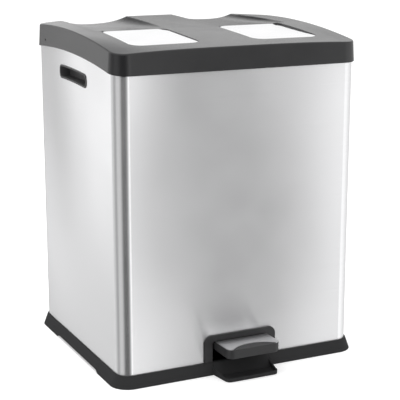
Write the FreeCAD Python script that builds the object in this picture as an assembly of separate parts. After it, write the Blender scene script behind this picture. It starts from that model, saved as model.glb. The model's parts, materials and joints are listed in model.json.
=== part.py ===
"""Double recycling bin: a steel body on a plinth, one arched lid over two inner buckets, and a pedal.

Millimetres, +Z up, front towards -Y. The shapes are drawn about the centre of the body, and every
piece is moved by ORIGIN_SHIFT as it is written, so that the origin is the bottom centre of the bin.
"""
import FreeCAD, Part
import math
import os

from FreeCAD import Vector

# Steel body
BODY_WIDTH = 500.0
BODY_DEPTH = 432.0
BODY_RADIUS = 26.0
BODY_SHEET = 0.8
BODY_TOP_Z = 612.0
SEAM_WIDTH = 14.0
SEAM_END_GAP = 16.0

# Gaps between pieces, and what drawing them takes
LOOSE_GAP = 0.3
RUNNING_GAP = 0.06
HIDDEN_RADIUS = 0.5
POINT_TOLERANCE = 1e-6

# Plinth
PLINTH_BOTTOM_Z = 0.5
PLINTH_TOP_Z = 24.0
PLINTH_LEDGE = 3.0
PLINTH_FLARE = 11.5
PLINTH_RIM = 10.0
PAN_TOP_Z = 10.0
PAN_THICKNESS = 4.0
BODY_SEAT_Z = 14.0
UPSTAND_RISE = 6.0
UPSTAND_WALL = 3.0
SIDE_ARCH_RISE = 5.5
SIDE_ARCH_FRONT_Y = -122.0
SIDE_ARCH_REAR_Y = 112.0
SIDE_ARCH_RAMP = 8.0

# Foot pads
PAD_RADIUS = 14.0
PAD_INSET = 27.5

# Pedal opening and its surround
OPENING_HALF_WIDTH = 60.0
OPENING_HEIGHT = 41.0
OPENING_RADIUS = 5.0
SURROUND_SIDE = 17.0
SURROUND_HEAD = 13.0
SURROUND_RADIUS = 15.0
SURROUND_PROUD = 4.0
SLEEVE_WALL = 2.0
SLEEVE_DEPTH = 16.0

# Toe tray
TRAY_REAR_HALF_WIDTH = 63.0
TRAY_FRONT_HALF_WIDTH = 55.0
TRAY_REACH = 59.5
TRAY_RADIUS = 10.0
TRAY_WALL = 3.5
TRAY_FLOOR = 2.5
TRAY_LIP = 7.0
TRAY_CHEEK = 18.5
TRAY_CHEEK_LENGTH = 40.0

# Pedal
PEDAL_SIDE_GAP = 4.0
PEDAL_HEAD_GAP = 0.7
PEDAL_REACH = 65.0
PEDAL_TAIL = 13.0
PEDAL_RADIUS = 14.0
PEDAL_HEIGHT = 15.8
PEDAL_SLOPE = 0.036
PEDAL_ROOF = 3.3
PEDAL_WALL = 3.0
TREAD_SHEET = 1.4
TREAD_INSET = 0.8
TREAD_START = 6.0
TREAD_SCOOP_RADIUS = 61.7
TREAD_SCOOP_DEPTH = 22.0

# Pedal lever
LEVER_WIDTH = 30.0
LEVER_HEIGHT = 12.0
LEVER_SHEET = 2.0
LEVER_LEVEL = 11.0
LEVER_NOSE_GAP = 13.0
LEVER_TAIL = 8.0
LEVER_FORK_LENGTH = 22.0
AXLE_SETBACK = 151.0
AXLE_Z = 44.0
AXLE_RADIUS = 4.0
AXLE_OVERHANG = 3.0
BRACKET_GAP = 3.0
BRACKET_THICKNESS = 6.0
BRACKET_HALF_DEPTH = 12.0
BRACKET_FOOT = 10.0
BRACKET_FOOT_THICKNESS = 3.0
CLIP_RADIUS = 7.5
CLIP_THICKNESS = 1.2
LEVER_PIN_RADIUS = 3.0

# Push rod
ROD_THICKNESS = 4.0
ROD_WIDTH = 16.0
ROD_FOOT = 11.0
ROD_FOOT_SLACK = 1.5
ROD_HEAD_WIDTH = 22.0
ROD_HEAD_HEIGHT = 16.0
ROD_HEAD_SLACK = 0.4
ROD_PIN_SLACK = 0.9
GUIDE_HALF_WIDTH = 14.0
GUIDE_HEIGHT = 20.0
GUIDE_WEB = 2.5
LOW_GUIDE_Z = 200.0
HIGH_GUIDE_DROP = 162.0

# Screw, rivet and pin heads
SCREW_RADIUS = 3.6
SCREW_HEAD = 2.0
RIVET_RADIUS = 2.5
RIVET_HEAD = 1.0
PIN_HEAD = 2.0
PIN_HEAD_GROWTH = 1.6

# Bucket deck
DECK_CLEARANCE = 5.0
DECK_THICKNESS = 3.0
DECK_EDGE_GAP = 1.2
DECK_WALL = 2.5
DECK_WALL_INSET = 11.0
DECK_RIB_X = 110.0
DECK_RIB_END = 28.0
RAIL_HALF_WIDTH = 1.5
RAIL_FOOT_HALF_WIDTH = 11.0
RAIL_FOOT_THICKNESS = 2.5
RAIL_HEIGHT = 35.0
RAIL_END_GAP = 30.0

# Top collar
COLLAR_LIFT = 2.5
COLLAR_FLANGE = 3.0
COLLAR_WALL = 2.5
COLLAR_DEPTH = 30.0
COLLAR_THROAT_DEPTH = 20.0
COLLAR_SIDE = 14.0
COLLAR_FRONT = 12.0
COLLAR_ROD_GAP = 1.2
COLLAR_OPENING_RADIUS = 30.0
COLLAR_NOTCH_HALF_WIDTH = 12.0

# Inner buckets
BUCKET_SIDE_GAP = 15.75
BUCKET_MID_GAP = 14.5
BUCKET_TAPER = 7.0
BUCKET_RADIUS = 30.0
BUCKET_WALL = 2.2
BUCKET_FLOOR = 2.6
BUCKET_LIP = 3.5
BUCKET_LIP_WALL = 2.0
BUCKET_LIP_DROP = 16.0
EAR_RADIUS = 6.5
EAR_DROP = 10.0
EAR_HOLE_DEPTH = 5.5

# Bucket bails
BAIL_WIRE_RADIUS = 2.0
BAIL_SIDE_GAP = 1.3
BAIL_COLLAR_GAP = 1.7
BAIL_BEND_RADIUS = 14.0
BAIL_PIN_GAP = 0.5
BAIL_HEADROOM = 11.0
BAIL_GRIP_RADIUS = 5.0
BAIL_GRIP_LENGTH = 92.0

# Side grips
GRIP_FRONT_Y = -68.0
GRIP_REAR_Y = 78.0
GRIP_HEIGHT = 27.0
GRIP_BELOW_LID = 30.0
GRIP_RADIUS = 8.0
GRIP_RIM = 3.0
GRIP_PROUD = 1.5
GRIP_DEPTH = 21.0
GRIP_WALL = 1.8

# Lid, with its heights counted from the top of the body
LID_OPEN_DEG = 80.0
LID_OVERHANG = 4.6
LID_DRAFT = 0.06
LID_SKIRT_DROP = 22.0
LID_SKIRT_WALL = 2.4
LID_TOP_WALL = 5.5
LID_ARCH_RADIUS = 1800.0
LID_ARCH_DROP = 4.5
LID_ARCH_Y = 54.0
LID_EDGE_ROUND = 2.5
SIDE_CREST_RISE = 37.6
SIDE_CREST_Y = 75.0
SIDE_CREST_RADIUS = 1750.0
RIDGE_CREST_RISE = 41.3
RIDGE_CREST_Y = 360.0
RIDGE_CREST_RADIUS = 7360.0
CROWN_POWER = 3.0
SURFACE_STEP = 14.0

# Wells behind the lid's plates
WELL_CREST_RISE = 34.4
WELL_CREST_Y = 70.0
WELL_CREST_RADIUS = 2240.0
WELL_INNER_X = 52.0
WELL_SIDE_INSET = 53.0
WELL_WALL_START = 6.0
WELL_INNER_WALL_END = 54.0
WELL_OUTER_WALL_END = 40.0

# Lid plates
PLATE_INNER_X = 56.5
PLATE_SIDE_INSET = 53.5
PLATE_FRONT_INSET = 50.0
PLATE_LENGTH = 173.0
PLATE_RADIUS = 24.0
PLATE_SINK = 0.8
PLATE_SHEET = 1.2
PLATE_GAP = 0.4

# Lid liner and crank
LINER_LIFT = 2.5
LINER_SHEET = 2.0
LINER_EDGE_GAP = 6.0
POST_RADIUS = 7.0
POST_INSET = 28.0
CRANK_POST_X = 60.0
BUFFER_RADIUS = 4.0
CRANK_RADIUS = 30.2
CRANK_REST_DEG = 39.0
CRANK_CHEEK = 3.0
CRANK_SIDE_GAP = 0.8
CRANK_HALF_DEPTH = 6.0
CRANK_PLATE = 2.0
CRANK_PLATE_HALF_WIDTH = 16.0
CRANK_PIN_RADIUS = 3.0

# Lid hinges
HINGE_SETBACK = 6.0
HINGE_DROP = 14.0
HINGE_X = 150.0
KNUCKLE_RADIUS = 5.2
KNUCKLE_GAP = 3.3
LUG_WIDTH = 24.0
EAR_WIDTH = 10.0
HINGE_PIN_RADIUS = 2.5
LEAF_THICKNESS = 2.0
LEAF_HEIGHT = 31.0

# Places that follow from the sizes above: body and base
FRONT_Y = -BODY_DEPTH / 2
REAR_Y = BODY_DEPTH / 2
SIDE_X = BODY_WIDTH / 2
ORIGIN_SHIFT = (PEDAL_REACH - PLINTH_FLARE) / 2
INNER_WIDTH = BODY_WIDTH - 2 * BODY_SHEET
INNER_DEPTH = BODY_DEPTH - 2 * BODY_SHEET
INNER_RADIUS = BODY_RADIUS - BODY_SHEET
UPSTAND_TOP_Z = PLINTH_TOP_Z + UPSTAND_RISE
OPENING_TOP_Z = PLINTH_TOP_Z + OPENING_HEIGHT

# Pedal and lever
PEDAL_HALF_WIDTH = OPENING_HALF_WIDTH - PEDAL_SIDE_GAP
PEDAL_FRONT_Y = FRONT_Y - PEDAL_REACH
PEDAL_REAR_Y = FRONT_Y + PEDAL_TAIL
PEDAL_REAR_Z = OPENING_TOP_Z - PEDAL_HEAD_GAP
PEDAL_BOTTOM_Z = PEDAL_REAR_Z - PEDAL_HEIGHT
LEVER_TOP_Z = PEDAL_REAR_Z - PEDAL_ROOF
LEVER_FRONT_Z = LEVER_TOP_Z - LEVER_HEIGHT / 2
LEVER_FRONT_Y = PEDAL_FRONT_Y + LEVER_NOSE_GAP
LEVER_BEND_Y = FRONT_Y + LEVER_LEVEL
AXLE_Y = FRONT_Y + AXLE_SETBACK
LEVER_SLOPE = (LEVER_FRONT_Z - AXLE_Z) / (AXLE_Y - LEVER_BEND_Y)

# Lid hinge, crank and rod
HINGE_Y = REAR_Y + HINGE_SETBACK
HINGE_Z = BODY_TOP_Z - HINGE_DROP
COLLAR_TOP_Z = BODY_TOP_Z + COLLAR_LIFT
LINER_Z = COLLAR_TOP_Z + LINER_LIFT
CRANK_REST = math.radians(CRANK_REST_DEG)
CRANK_LIFT = math.radians(LID_OPEN_DEG - CRANK_REST_DEG)
CRANK_Y = HINGE_Y - CRANK_RADIUS * math.cos(CRANK_REST)
CRANK_Z = HINGE_Z - CRANK_RADIUS * math.sin(CRANK_REST)
ROD_SWAY = CRANK_RADIUS * (1 - math.cos(CRANK_LIFT)) / 2
ROD_Y = HINGE_Y - CRANK_RADIUS + ROD_SWAY
ROD_TRAVEL = CRANK_RADIUS * (math.sin(CRANK_REST) + math.sin(CRANK_LIFT))
LEVER_PIN_Z = AXLE_Z - LEVER_SLOPE * (ROD_Y - AXLE_Y)
LEVER_REAR_Y = ROD_Y + LEVER_TAIL
LEVER_REAR_TOP_Z = AXLE_Z - LEVER_SLOPE * (LEVER_REAR_Y - AXLE_Y) + LEVER_HEIGHT / 2
LEVER_REAR_RISE = ROD_TRAVEL * (LEVER_REAR_Y - AXLE_Y) / (ROD_Y - AXLE_Y)

# Deck, collar and buckets
DECK_TOP_Z = LEVER_REAR_TOP_Z + LEVER_REAR_RISE + DECK_CLEARANCE + DECK_THICKNESS
COLLAR_FRONT_Y = FRONT_Y + COLLAR_FRONT
COLLAR_REAR_Y = ROD_Y - ROD_HEAD_WIDTH / 2 - COLLAR_ROD_GAP
COLLAR_OPENING_X = SIDE_X - COLLAR_SIDE
BUCKET_END_GAP = BAIL_SIDE_GAP + 2 * BAIL_WIRE_RADIUS + BAIL_COLLAR_GAP
BUCKET_WIDTH = COLLAR_OPENING_X - BUCKET_SIDE_GAP - BUCKET_MID_GAP / 2 - 2 * BUCKET_LIP
BUCKET_LENGTH = COLLAR_REAR_Y - COLLAR_FRONT_Y - 2 * BUCKET_END_GAP - 2 * BUCKET_LIP
BUCKET_X = BUCKET_MID_GAP / 2 + BUCKET_LIP + BUCKET_WIDTH / 2
BUCKET_Y = (COLLAR_FRONT_Y + COLLAR_REAR_Y) / 2
BUCKET_LIP_Y = BUCKET_LENGTH / 2 + BUCKET_LIP
BUCKET_BOTTOM_Z = DECK_TOP_Z + LOOSE_GAP
BAIL_ARM = BUCKET_WIDTH / 2
BAIL_EYE_RADIUS = BAIL_SIDE_GAP + BAIL_WIRE_RADIUS - LOOSE_GAP
BAIL_ARM_Y = BUCKET_LIP_Y + BAIL_SIDE_GAP + BAIL_WIRE_RADIUS
EAR_Z = LINER_Z - SCREW_HEAD - BAIL_HEADROOM - BAIL_GRIP_RADIUS - BAIL_ARM
BUCKET_TOP_Z = EAR_Z + EAR_DROP
BAIL_REST = math.asin((EAR_DROP + LOOSE_GAP + BAIL_GRIP_RADIUS) / BAIL_ARM)

# Lid
LID_ARCH_Z = BODY_TOP_Z - LID_ARCH_DROP - LID_ARCH_RADIUS
LID_TOP_Z = BODY_TOP_Z + RIDGE_CREST_RISE
WELL_OUTER_X = SIDE_X - WELL_SIDE_INSET
PLATE_OUTER_X = SIDE_X - PLATE_SIDE_INSET
PLATE_FRONT_Y = FRONT_Y + PLATE_FRONT_INSET
PLATE_REAR_Y = PLATE_FRONT_Y + PLATE_LENGTH
NOTCH_TOP_Z = HINGE_Z + KNUCKLE_RADIUS + KNUCKLE_GAP
LEAF_TOP_Z = HINGE_Z - KNUCKLE_RADIUS
LEAF_BOTTOM_Z = LEAF_TOP_Z - LEAF_HEIGHT
POST_X = SIDE_X - POST_INSET
POST_Y = REAR_Y - POST_INSET
LINER_POSTS = (
    (-POST_X, -POST_Y), (0.0, -POST_Y), (POST_X, -POST_Y),
    (-POST_X, POST_Y), (-CRANK_POST_X, POST_Y), (CRANK_POST_X, POST_Y), (POST_X, POST_Y),
)


def yz(y, z):
    return Vector(0, y, z)


def box(x0, x1, y0, y1, z0, z1):
    return Part.makeBox(x1 - x0, y1 - y0, z1 - z0, Vector(x0, y0, z0))


def rod_x(radius, x0, x1, y, z):
    """A round bar along X."""
    return Part.makeCylinder(radius, x1 - x0, Vector(x0, y, z), Vector(1, 0, 0))


def rod_y(radius, y0, y1, x, z):
    """A round bar along Y."""
    return Part.makeCylinder(radius, abs(y1 - y0), Vector(x, min(y0, y1), z), Vector(0, 1, 0))


def rod_z(radius, x, y, z0, z1):
    """A round bar along Z."""
    return Part.makeCylinder(radius, z1 - z0, Vector(x, y, z0))


def rounded_wire(corners, z=0.0):
    """A closed wire at height z through (x, y, radius) corners, each turned by an arc."""
    count = len(corners)
    arcs = []
    for i, (x, y, radius) in enumerate(corners):
        here = Vector(x, y, z)
        before = Vector(corners[i - 1][0], corners[i - 1][1], z) - here
        after = Vector(corners[(i + 1) % count][0], corners[(i + 1) % count][1], z) - here
        before.normalize()
        after.normalize()
        half = before.getAngle(after) / 2
        reach = radius / math.tan(half)
        inward = before + after
        inward.normalize()
        middle = here + inward * (radius / math.sin(half) - radius)
        arcs.append((here + before * reach, middle, here + after * reach))
    edges = []
    for i, (start, middle, end) in enumerate(arcs):
        edges.append(Part.Arc(start, middle, end).toShape())
        following = arcs[(i + 1) % count][0]
        if not following.isEqual(end, POINT_TOLERANCE):
            edges.append(Part.LineSegment(end, following).toShape())
    return Part.Wire(edges)


def rectangle(x0, x1, y0, y1, radius, z=0.0):
    return rounded_wire([(x0, y0, radius), (x1, y0, radius), (x1, y1, radius), (x0, y1, radius)], z)


def body_outline(grow, z=0.0):
    """The body's rounded rectangle, grown outwards, or inwards where grow is negative."""
    return rectangle(
        -SIDE_X - grow, SIDE_X + grow, FRONT_Y - grow, REAR_Y + grow, BODY_RADIUS + grow, z,
    )


def extruded(wire, z0, z1):
    solid = Part.Face(wire).extrude(Vector(0, 0, z1 - z0))
    solid.translate(Vector(0, 0, z0))
    return solid


def side_prism(points, half_width):
    """A prism along X, centred on it, over a side outline of (y, z) points."""
    wire = Part.makePolygon([yz(y, z) for y, z in points] + [yz(*points[0])])
    solid = Part.Face(wire).extrude(Vector(2 * half_width, 0, 0))
    solid.translate(Vector(-half_width, 0, 0))
    return solid


def fused(shapes):
    whole = shapes[0]
    for shape in shapes[1:]:
        whole = whole.fuse(shape)
    return whole.removeSplitter()


def mirrored(shape):
    return shape.mirror(Vector(0, 0, 0), Vector(1, 0, 0))


def both_sides(shape):
    """The shape and its mirror image, as separate solids."""
    return [shape, mirrored(shape)]


# ---------------------------------------------------------------- body and base

def grip_block(inset, x0, x1):
    """The grip's outline through the left wall, drawn in by inset, parallel to the lid's arch."""
    top_radius = LID_ARCH_RADIUS - GRIP_BELOW_LID - inset
    bottom_radius = LID_ARCH_RADIUS - GRIP_BELOW_LID - GRIP_HEIGHT + inset
    ring = rod_x(top_radius, x0, x1, LID_ARCH_Y, LID_ARCH_Z)
    ring = ring.cut(rod_x(bottom_radius, x0, x1, LID_ARCH_Y, LID_ARCH_Z))
    block = ring.common(box(
        x0, x1, GRIP_FRONT_Y + inset, GRIP_REAR_Y - inset, LID_ARCH_Z, LID_ARCH_Z + LID_ARCH_RADIUS,
    ))
    corners = [
        edge for edge in block.Edges
        if abs(edge.Vertexes[0].Point.x - edge.Vertexes[-1].Point.x) > (x1 - x0) / 2
    ]
    return block.makeFillet(GRIP_RADIUS - inset, corners)


def arch_block(grow, y0, y1, bottom_z):
    """A block through the pedal opening, grown to its sides and top, with rounded upper corners."""
    half_width = OPENING_HALF_WIDTH + grow
    top_z = OPENING_TOP_Z + grow
    block = box(-half_width, half_width, y0, y1, bottom_z, top_z)
    corners = [
        edge for edge in block.Edges
        if edge.Vertexes[0].Point.z == edge.Vertexes[1].Point.z
        and abs(edge.CenterOfMass.x) > OPENING_HALF_WIDTH / 2
        and edge.CenterOfMass.z > (bottom_z + top_z) / 2
    ]
    return block.makeFillet(OPENING_RADIUS + grow, corners)


def body_shell():
    """The steel wrap, with a lap seam at the back, a pedal opening and two holes for the grips."""
    shell = extruded(body_outline(0), BODY_SEAT_Z, BODY_TOP_Z)
    shell = shell.cut(extruded(body_outline(-BODY_SHEET), BODY_SEAT_Z, BODY_TOP_Z))
    seam = box(
        -SEAM_WIDTH / 2, SEAM_WIDTH / 2, REAR_Y - BODY_SHEET / 2, REAR_Y + BODY_SHEET,
        PLINTH_TOP_Z + SEAM_END_GAP, BODY_TOP_Z - COLLAR_DEPTH - SEAM_END_GAP,
    )
    shell = shell.fuse(seam)
    shell = shell.cut(arch_block(SLEEVE_WALL, FRONT_Y - BODY_SHEET, FRONT_Y + 2 * BODY_SHEET, 0))
    for hole in both_sides(grip_block(GRIP_RIM / 2, -SIDE_X - BODY_SHEET, -SIDE_X + 2 * BODY_SHEET)):
        shell = shell.cut(hole)
    return shell


def plinth_outer():
    return Part.makeLoft(
        [body_outline(PLINTH_FLARE, PLINTH_BOTTOM_Z), body_outline(PLINTH_LEDGE, PLINTH_TOP_Z)], True, True,
    )


def plinth():
    """The base: a flared rim with a groove for the sheet, an upstand inside it and a flat pan."""
    wall = UPSTAND_WALL + BODY_SHEET
    base = plinth_outer().cut(extruded(body_outline(0), BODY_SEAT_Z, PLINTH_TOP_Z))
    base = base.fuse(extruded(body_outline(-BODY_SHEET), BODY_SEAT_Z, UPSTAND_TOP_Z))
    base = base.cut(extruded(body_outline(-wall), PAN_TOP_Z, UPSTAND_TOP_Z))
    base = base.cut(extruded(body_outline(PLINTH_FLARE - PLINTH_RIM), 0, PAN_TOP_Z - PAN_THICKNESS))
    base = base.cut(side_prism(
        [(SIDE_ARCH_FRONT_Y, 0), (SIDE_ARCH_FRONT_Y + SIDE_ARCH_RAMP, SIDE_ARCH_RISE),
         (SIDE_ARCH_REAR_Y - SIDE_ARCH_RAMP, SIDE_ARCH_RISE), (SIDE_ARCH_REAR_Y, 0)],
        SIDE_X + PLINTH_FLARE,
    ))
    half_width = OPENING_HALF_WIDTH + SLEEVE_WALL
    return base.cut(box(
        -half_width, half_width, FRONT_Y - PLINTH_FLARE, FRONT_Y + SLEEVE_DEPTH,
        PLINTH_TOP_Z, UPSTAND_TOP_Z,
    )).removeSplitter()


def foot_pads():
    pads = []
    for x in (-SIDE_X + PAD_INSET, SIDE_X - PAD_INSET):
        for y in (FRONT_Y + PAD_INSET, REAR_Y - PAD_INSET):
            pads.append(rod_z(PAD_RADIUS, x, y, 0, PAN_TOP_Z - PAN_THICKNESS))
    return Part.makeCompound(pads)


def pedal_surround():
    """The plastic frame round the pedal's opening, with a sleeve that lines the hole in the sheet."""
    grow = SURROUND_SIDE
    half_width = OPENING_HALF_WIDTH + grow
    top_z = OPENING_TOP_Z + SURROUND_HEAD
    face = box(-half_width, half_width, FRONT_Y - SURROUND_PROUD, FRONT_Y, PLINTH_TOP_Z, top_z)
    corners = [
        edge for edge in face.Edges
        if edge.Vertexes[0].Point.y != edge.Vertexes[1].Point.y and edge.CenterOfMass.z > OPENING_TOP_Z
    ]
    face = face.makeFillet(SURROUND_RADIUS, corners)
    sleeve = arch_block(SLEEVE_WALL, FRONT_Y, FRONT_Y + SLEEVE_DEPTH, PLINTH_TOP_Z)
    hole = arch_block(0, FRONT_Y - 2 * SURROUND_PROUD, FRONT_Y + 2 * SLEEVE_DEPTH, 0)
    return fused([face, sleeve]).cut(hole)


def tray_outline(inset, rear_y):
    """The tray's plan, tapered to its front, drawn in by inset at its sides and front."""
    front_y = FRONT_Y - TRAY_REACH + inset
    front_x = TRAY_FRONT_HALF_WIDTH - inset
    rear_x = TRAY_REAR_HALF_WIDTH - inset
    return rounded_wire([
        (-front_x, front_y, TRAY_RADIUS - inset), (front_x, front_y, TRAY_RADIUS - inset),
        (rear_x, rear_y, HIDDEN_RADIUS), (-rear_x, rear_y, HIDDEN_RADIUS),
    ])


def toe_tray():
    """A dish in front of the plinth, with cheeks that fall from the plinth to a low front lip."""
    tray = extruded(tray_outline(0, FRONT_Y), PLINTH_BOTTOM_Z, PLINTH_TOP_Z)
    tray = tray.cut(extruded(tray_outline(TRAY_WALL, FRONT_Y), PLINTH_BOTTOM_Z + TRAY_FLOOR, PLINTH_TOP_Z))
    front_y = FRONT_Y - 2 * TRAY_REACH
    lip_z = PLINTH_BOTTOM_Z + TRAY_LIP
    above = side_prism(
        [(front_y, lip_z), (FRONT_Y - PLINTH_LEDGE - TRAY_CHEEK_LENGTH, lip_z),
         (FRONT_Y, PLINTH_BOTTOM_Z + TRAY_CHEEK), (FRONT_Y, PLINTH_TOP_Z + TRAY_CHEEK),
         (front_y, PLINTH_TOP_Z + TRAY_CHEEK)],
        2 * TRAY_REAR_HALF_WIDTH,
    )
    return tray.cut(above).cut(plinth_outer())


def grip_cup():
    """The left grip: a rim outside the body and a blind cup behind it."""
    outside = -SIDE_X - GRIP_PROUD
    bottom = -SIDE_X + GRIP_DEPTH
    rim = grip_block(0, outside, -SIDE_X)
    cup = grip_block(GRIP_RIM / 2, -SIDE_X, bottom)
    recess = grip_block(GRIP_RIM / 2 + GRIP_WALL, outside - GRIP_PROUD, bottom - GRIP_WALL)
    return fused([rim, cup]).cut(recess)


def top_collar():
    """A channel-shaped ring that hems the sheet's top edge and frames the way to the buckets."""
    under_flange = COLLAR_TOP_Z - COLLAR_FLANGE
    hem = extruded(body_outline(0), BODY_TOP_Z, COLLAR_TOP_Z)
    flange = extruded(body_outline(-BODY_SHEET), under_flange, BODY_TOP_Z)
    outer_wall = extruded(body_outline(-BODY_SHEET), BODY_TOP_Z - COLLAR_DEPTH, under_flange)
    outer_wall = outer_wall.cut(
        extruded(body_outline(-BODY_SHEET - COLLAR_WALL), BODY_TOP_Z - COLLAR_DEPTH, under_flange))
    throat = rectangle(
        -COLLAR_OPENING_X - COLLAR_WALL, COLLAR_OPENING_X + COLLAR_WALL,
        COLLAR_FRONT_Y - COLLAR_WALL, COLLAR_REAR_Y + COLLAR_WALL, COLLAR_OPENING_RADIUS + COLLAR_WALL,
    )
    inner_wall = extruded(throat, BODY_TOP_Z - COLLAR_THROAT_DEPTH, under_flange)
    opening = rectangle(
        -COLLAR_OPENING_X, COLLAR_OPENING_X, COLLAR_FRONT_Y, COLLAR_REAR_Y, COLLAR_OPENING_RADIUS,
    )
    ring = fused([hem, flange, outer_wall, inner_wall])
    ring = ring.cut(extruded(opening, BODY_TOP_Z - COLLAR_DEPTH, COLLAR_TOP_Z))
    return ring.cut(box(
        -COLLAR_NOTCH_HALF_WIDTH, COLLAR_NOTCH_HALF_WIDTH, COLLAR_REAR_Y - COLLAR_WALL, REAR_Y,
        BODY_TOP_Z - COLLAR_DEPTH, COLLAR_TOP_Z,
    )).removeSplitter()


# ---------------------------------------------------------------- deck and pedal works

def bucket_deck():
    """The false floor under the buckets, on four walls that stand in the pan."""
    under = DECK_TOP_Z - DECK_THICKNESS
    wall_x = SIDE_X - DECK_WALL_INSET
    pieces = [extruded(body_outline(-BODY_SHEET - DECK_EDGE_GAP), under, DECK_TOP_Z)]
    for x in (DECK_RIB_X - DECK_WALL, wall_x - DECK_WALL):
        pieces += both_sides(box(
            x, x + DECK_WALL, FRONT_Y + DECK_RIB_END, REAR_Y - DECK_RIB_END, PAN_TOP_Z, under,
        ))
    reach = ROD_WIDTH / 2 + GUIDE_WEB
    return fused(pieces).cut(box(
        -ROD_THICKNESS, ROD_THICKNESS, ROD_Y - reach, ROD_Y + reach, PAN_TOP_Z, DECK_TOP_Z,
    ))


def divider_rail():
    y0 = COLLAR_FRONT_Y + RAIL_END_GAP
    y1 = COLLAR_REAR_Y - RAIL_END_GAP
    foot = box(
        -RAIL_FOOT_HALF_WIDTH, RAIL_FOOT_HALF_WIDTH, y0, y1, DECK_TOP_Z, DECK_TOP_Z + RAIL_FOOT_THICKNESS,
    )
    fin = box(-RAIL_HALF_WIDTH, RAIL_HALF_WIDTH, y0, y1, DECK_TOP_Z, DECK_TOP_Z + RAIL_HEIGHT)
    return fused([foot, fin])


def deck_screws():
    x = SIDE_X - DECK_WALL_INSET - DECK_WALL / 2
    heads = []
    for y in (FRONT_Y / 2, 0, REAR_Y / 2):
        heads += both_sides(rod_z(SCREW_RADIUS, x, y, DECK_TOP_Z, DECK_TOP_Z + SCREW_HEAD))
    return Part.makeCompound(heads)


def axle_bracket():
    """The left bracket: an upright plate on a foot, with the axle's hole."""
    x1 = -LEVER_WIDTH / 2 - BRACKET_GAP
    x0 = x1 - BRACKET_THICKNESS
    plate = box(x0, x1, AXLE_Y - BRACKET_HALF_DEPTH, AXLE_Y + BRACKET_HALF_DEPTH, PAN_TOP_Z, AXLE_Z)
    head = rod_x(BRACKET_HALF_DEPTH, x0, x1, AXLE_Y, AXLE_Z)
    foot = box(
        x0 - BRACKET_FOOT, x1, AXLE_Y - BRACKET_HALF_DEPTH - BRACKET_FOOT,
        AXLE_Y + BRACKET_HALF_DEPTH + BRACKET_FOOT, PAN_TOP_Z, PAN_TOP_Z + BRACKET_FOOT_THICKNESS,
    )
    return fused([plate, head, foot]).cut(rod_x(AXLE_RADIUS, x0, x1, AXLE_Y, AXLE_Z))


def bracket_screws():
    x = LEVER_WIDTH / 2 + BRACKET_GAP + BRACKET_THICKNESS / 2
    z = PAN_TOP_Z + BRACKET_FOOT_THICKNESS
    reach = BRACKET_HALF_DEPTH + BRACKET_FOOT / 2
    heads = []
    for y in (AXLE_Y - reach, AXLE_Y + reach):
        heads += both_sides(rod_z(SCREW_RADIUS, x, y, z, z + SCREW_HEAD))
    return Part.makeCompound(heads)


def pedal_axle():
    reach = LEVER_WIDTH / 2 + BRACKET_GAP + BRACKET_THICKNESS + CLIP_THICKNESS + AXLE_OVERHANG
    return rod_x(AXLE_RADIUS, -reach, reach, AXLE_Y, AXLE_Z)


def axle_clips():
    inner = LEVER_WIDTH / 2 + BRACKET_GAP + BRACKET_THICKNESS
    outer = inner + CLIP_THICKNESS
    clip = rod_x(CLIP_RADIUS, inner, outer, AXLE_Y, AXLE_Z)
    return Part.makeCompound(both_sides(clip.cut(rod_x(AXLE_RADIUS, inner, outer, AXLE_Y, AXLE_Z))))


def rod_guides():
    """Two blocks on the rear wall, each with a slot that the rod slides in."""
    slot_x = ROD_THICKNESS / 2 + LOOSE_GAP
    slot_y = ROD_WIDTH / 2 + LOOSE_GAP
    guides = []
    for z in (LOW_GUIDE_Z, BODY_TOP_Z - HIGH_GUIDE_DROP):
        block = box(
            -GUIDE_HALF_WIDTH, GUIDE_HALF_WIDTH, ROD_Y - slot_y - GUIDE_WEB, REAR_Y - BODY_SHEET,
            z - GUIDE_HEIGHT / 2, z + GUIDE_HEIGHT / 2,
        )
        guides.append(block.cut(box(
            -slot_x, slot_x, ROD_Y - slot_y, ROD_Y + slot_y, z - GUIDE_HEIGHT, z + GUIDE_HEIGHT,
        )))
    return Part.makeCompound(guides)


def guide_rivets():
    x = (GUIDE_HALF_WIDTH + SEAM_WIDTH / 2) / 2
    heads = []
    for z in (LOW_GUIDE_Z, BODY_TOP_Z - HIGH_GUIDE_DROP):
        heads += both_sides(rod_y(RIVET_RADIUS, REAR_Y, REAR_Y + RIVET_HEAD, x, z))
    return Part.makeCompound(heads)


def lever_z(y):
    """Height of the lever's middle line behind its bend."""
    return AXLE_Z - LEVER_SLOPE * (y - AXLE_Y)


def lever_outline(above, below, front_y, rear_y):
    """Side outline of the lever between two heights above and below its middle line."""
    return [
        (front_y, LEVER_FRONT_Z + above), (LEVER_BEND_Y, LEVER_FRONT_Z + above),
        (rear_y, lever_z(rear_y) + above), (rear_y, lever_z(rear_y) - below),
        (LEVER_BEND_Y, LEVER_FRONT_Z - below), (front_y, LEVER_FRONT_Z - below),
    ]


def pedal_lever():
    """A steel channel, open below, bent level where it carries the pedal and forked at its rear."""
    half = LEVER_HEIGHT / 2
    width = LEVER_WIDTH / 2
    inner = width - LEVER_SHEET
    channel = side_prism(lever_outline(half, half, LEVER_FRONT_Y, LEVER_REAR_Y), width)
    channel = channel.cut(side_prism(
        lever_outline(half - LEVER_SHEET, 2 * half, LEVER_FRONT_Y + LEVER_SHEET, LEVER_REAR_Y + LEVER_TAIL),
        inner,
    ))
    channel = channel.cut(box(
        -inner, inner, LEVER_REAR_Y - LEVER_FORK_LENGTH, LEVER_REAR_Y + LEVER_TAIL,
        0, LEVER_PIN_Z + 2 * LEVER_HEIGHT,
    ))
    channel = channel.cut(rod_x(AXLE_RADIUS + RUNNING_GAP, -width, width, AXLE_Y, AXLE_Z))
    return channel.cut(rod_x(LEVER_PIN_RADIUS, -width, width, ROD_Y, LEVER_PIN_Z))


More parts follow.
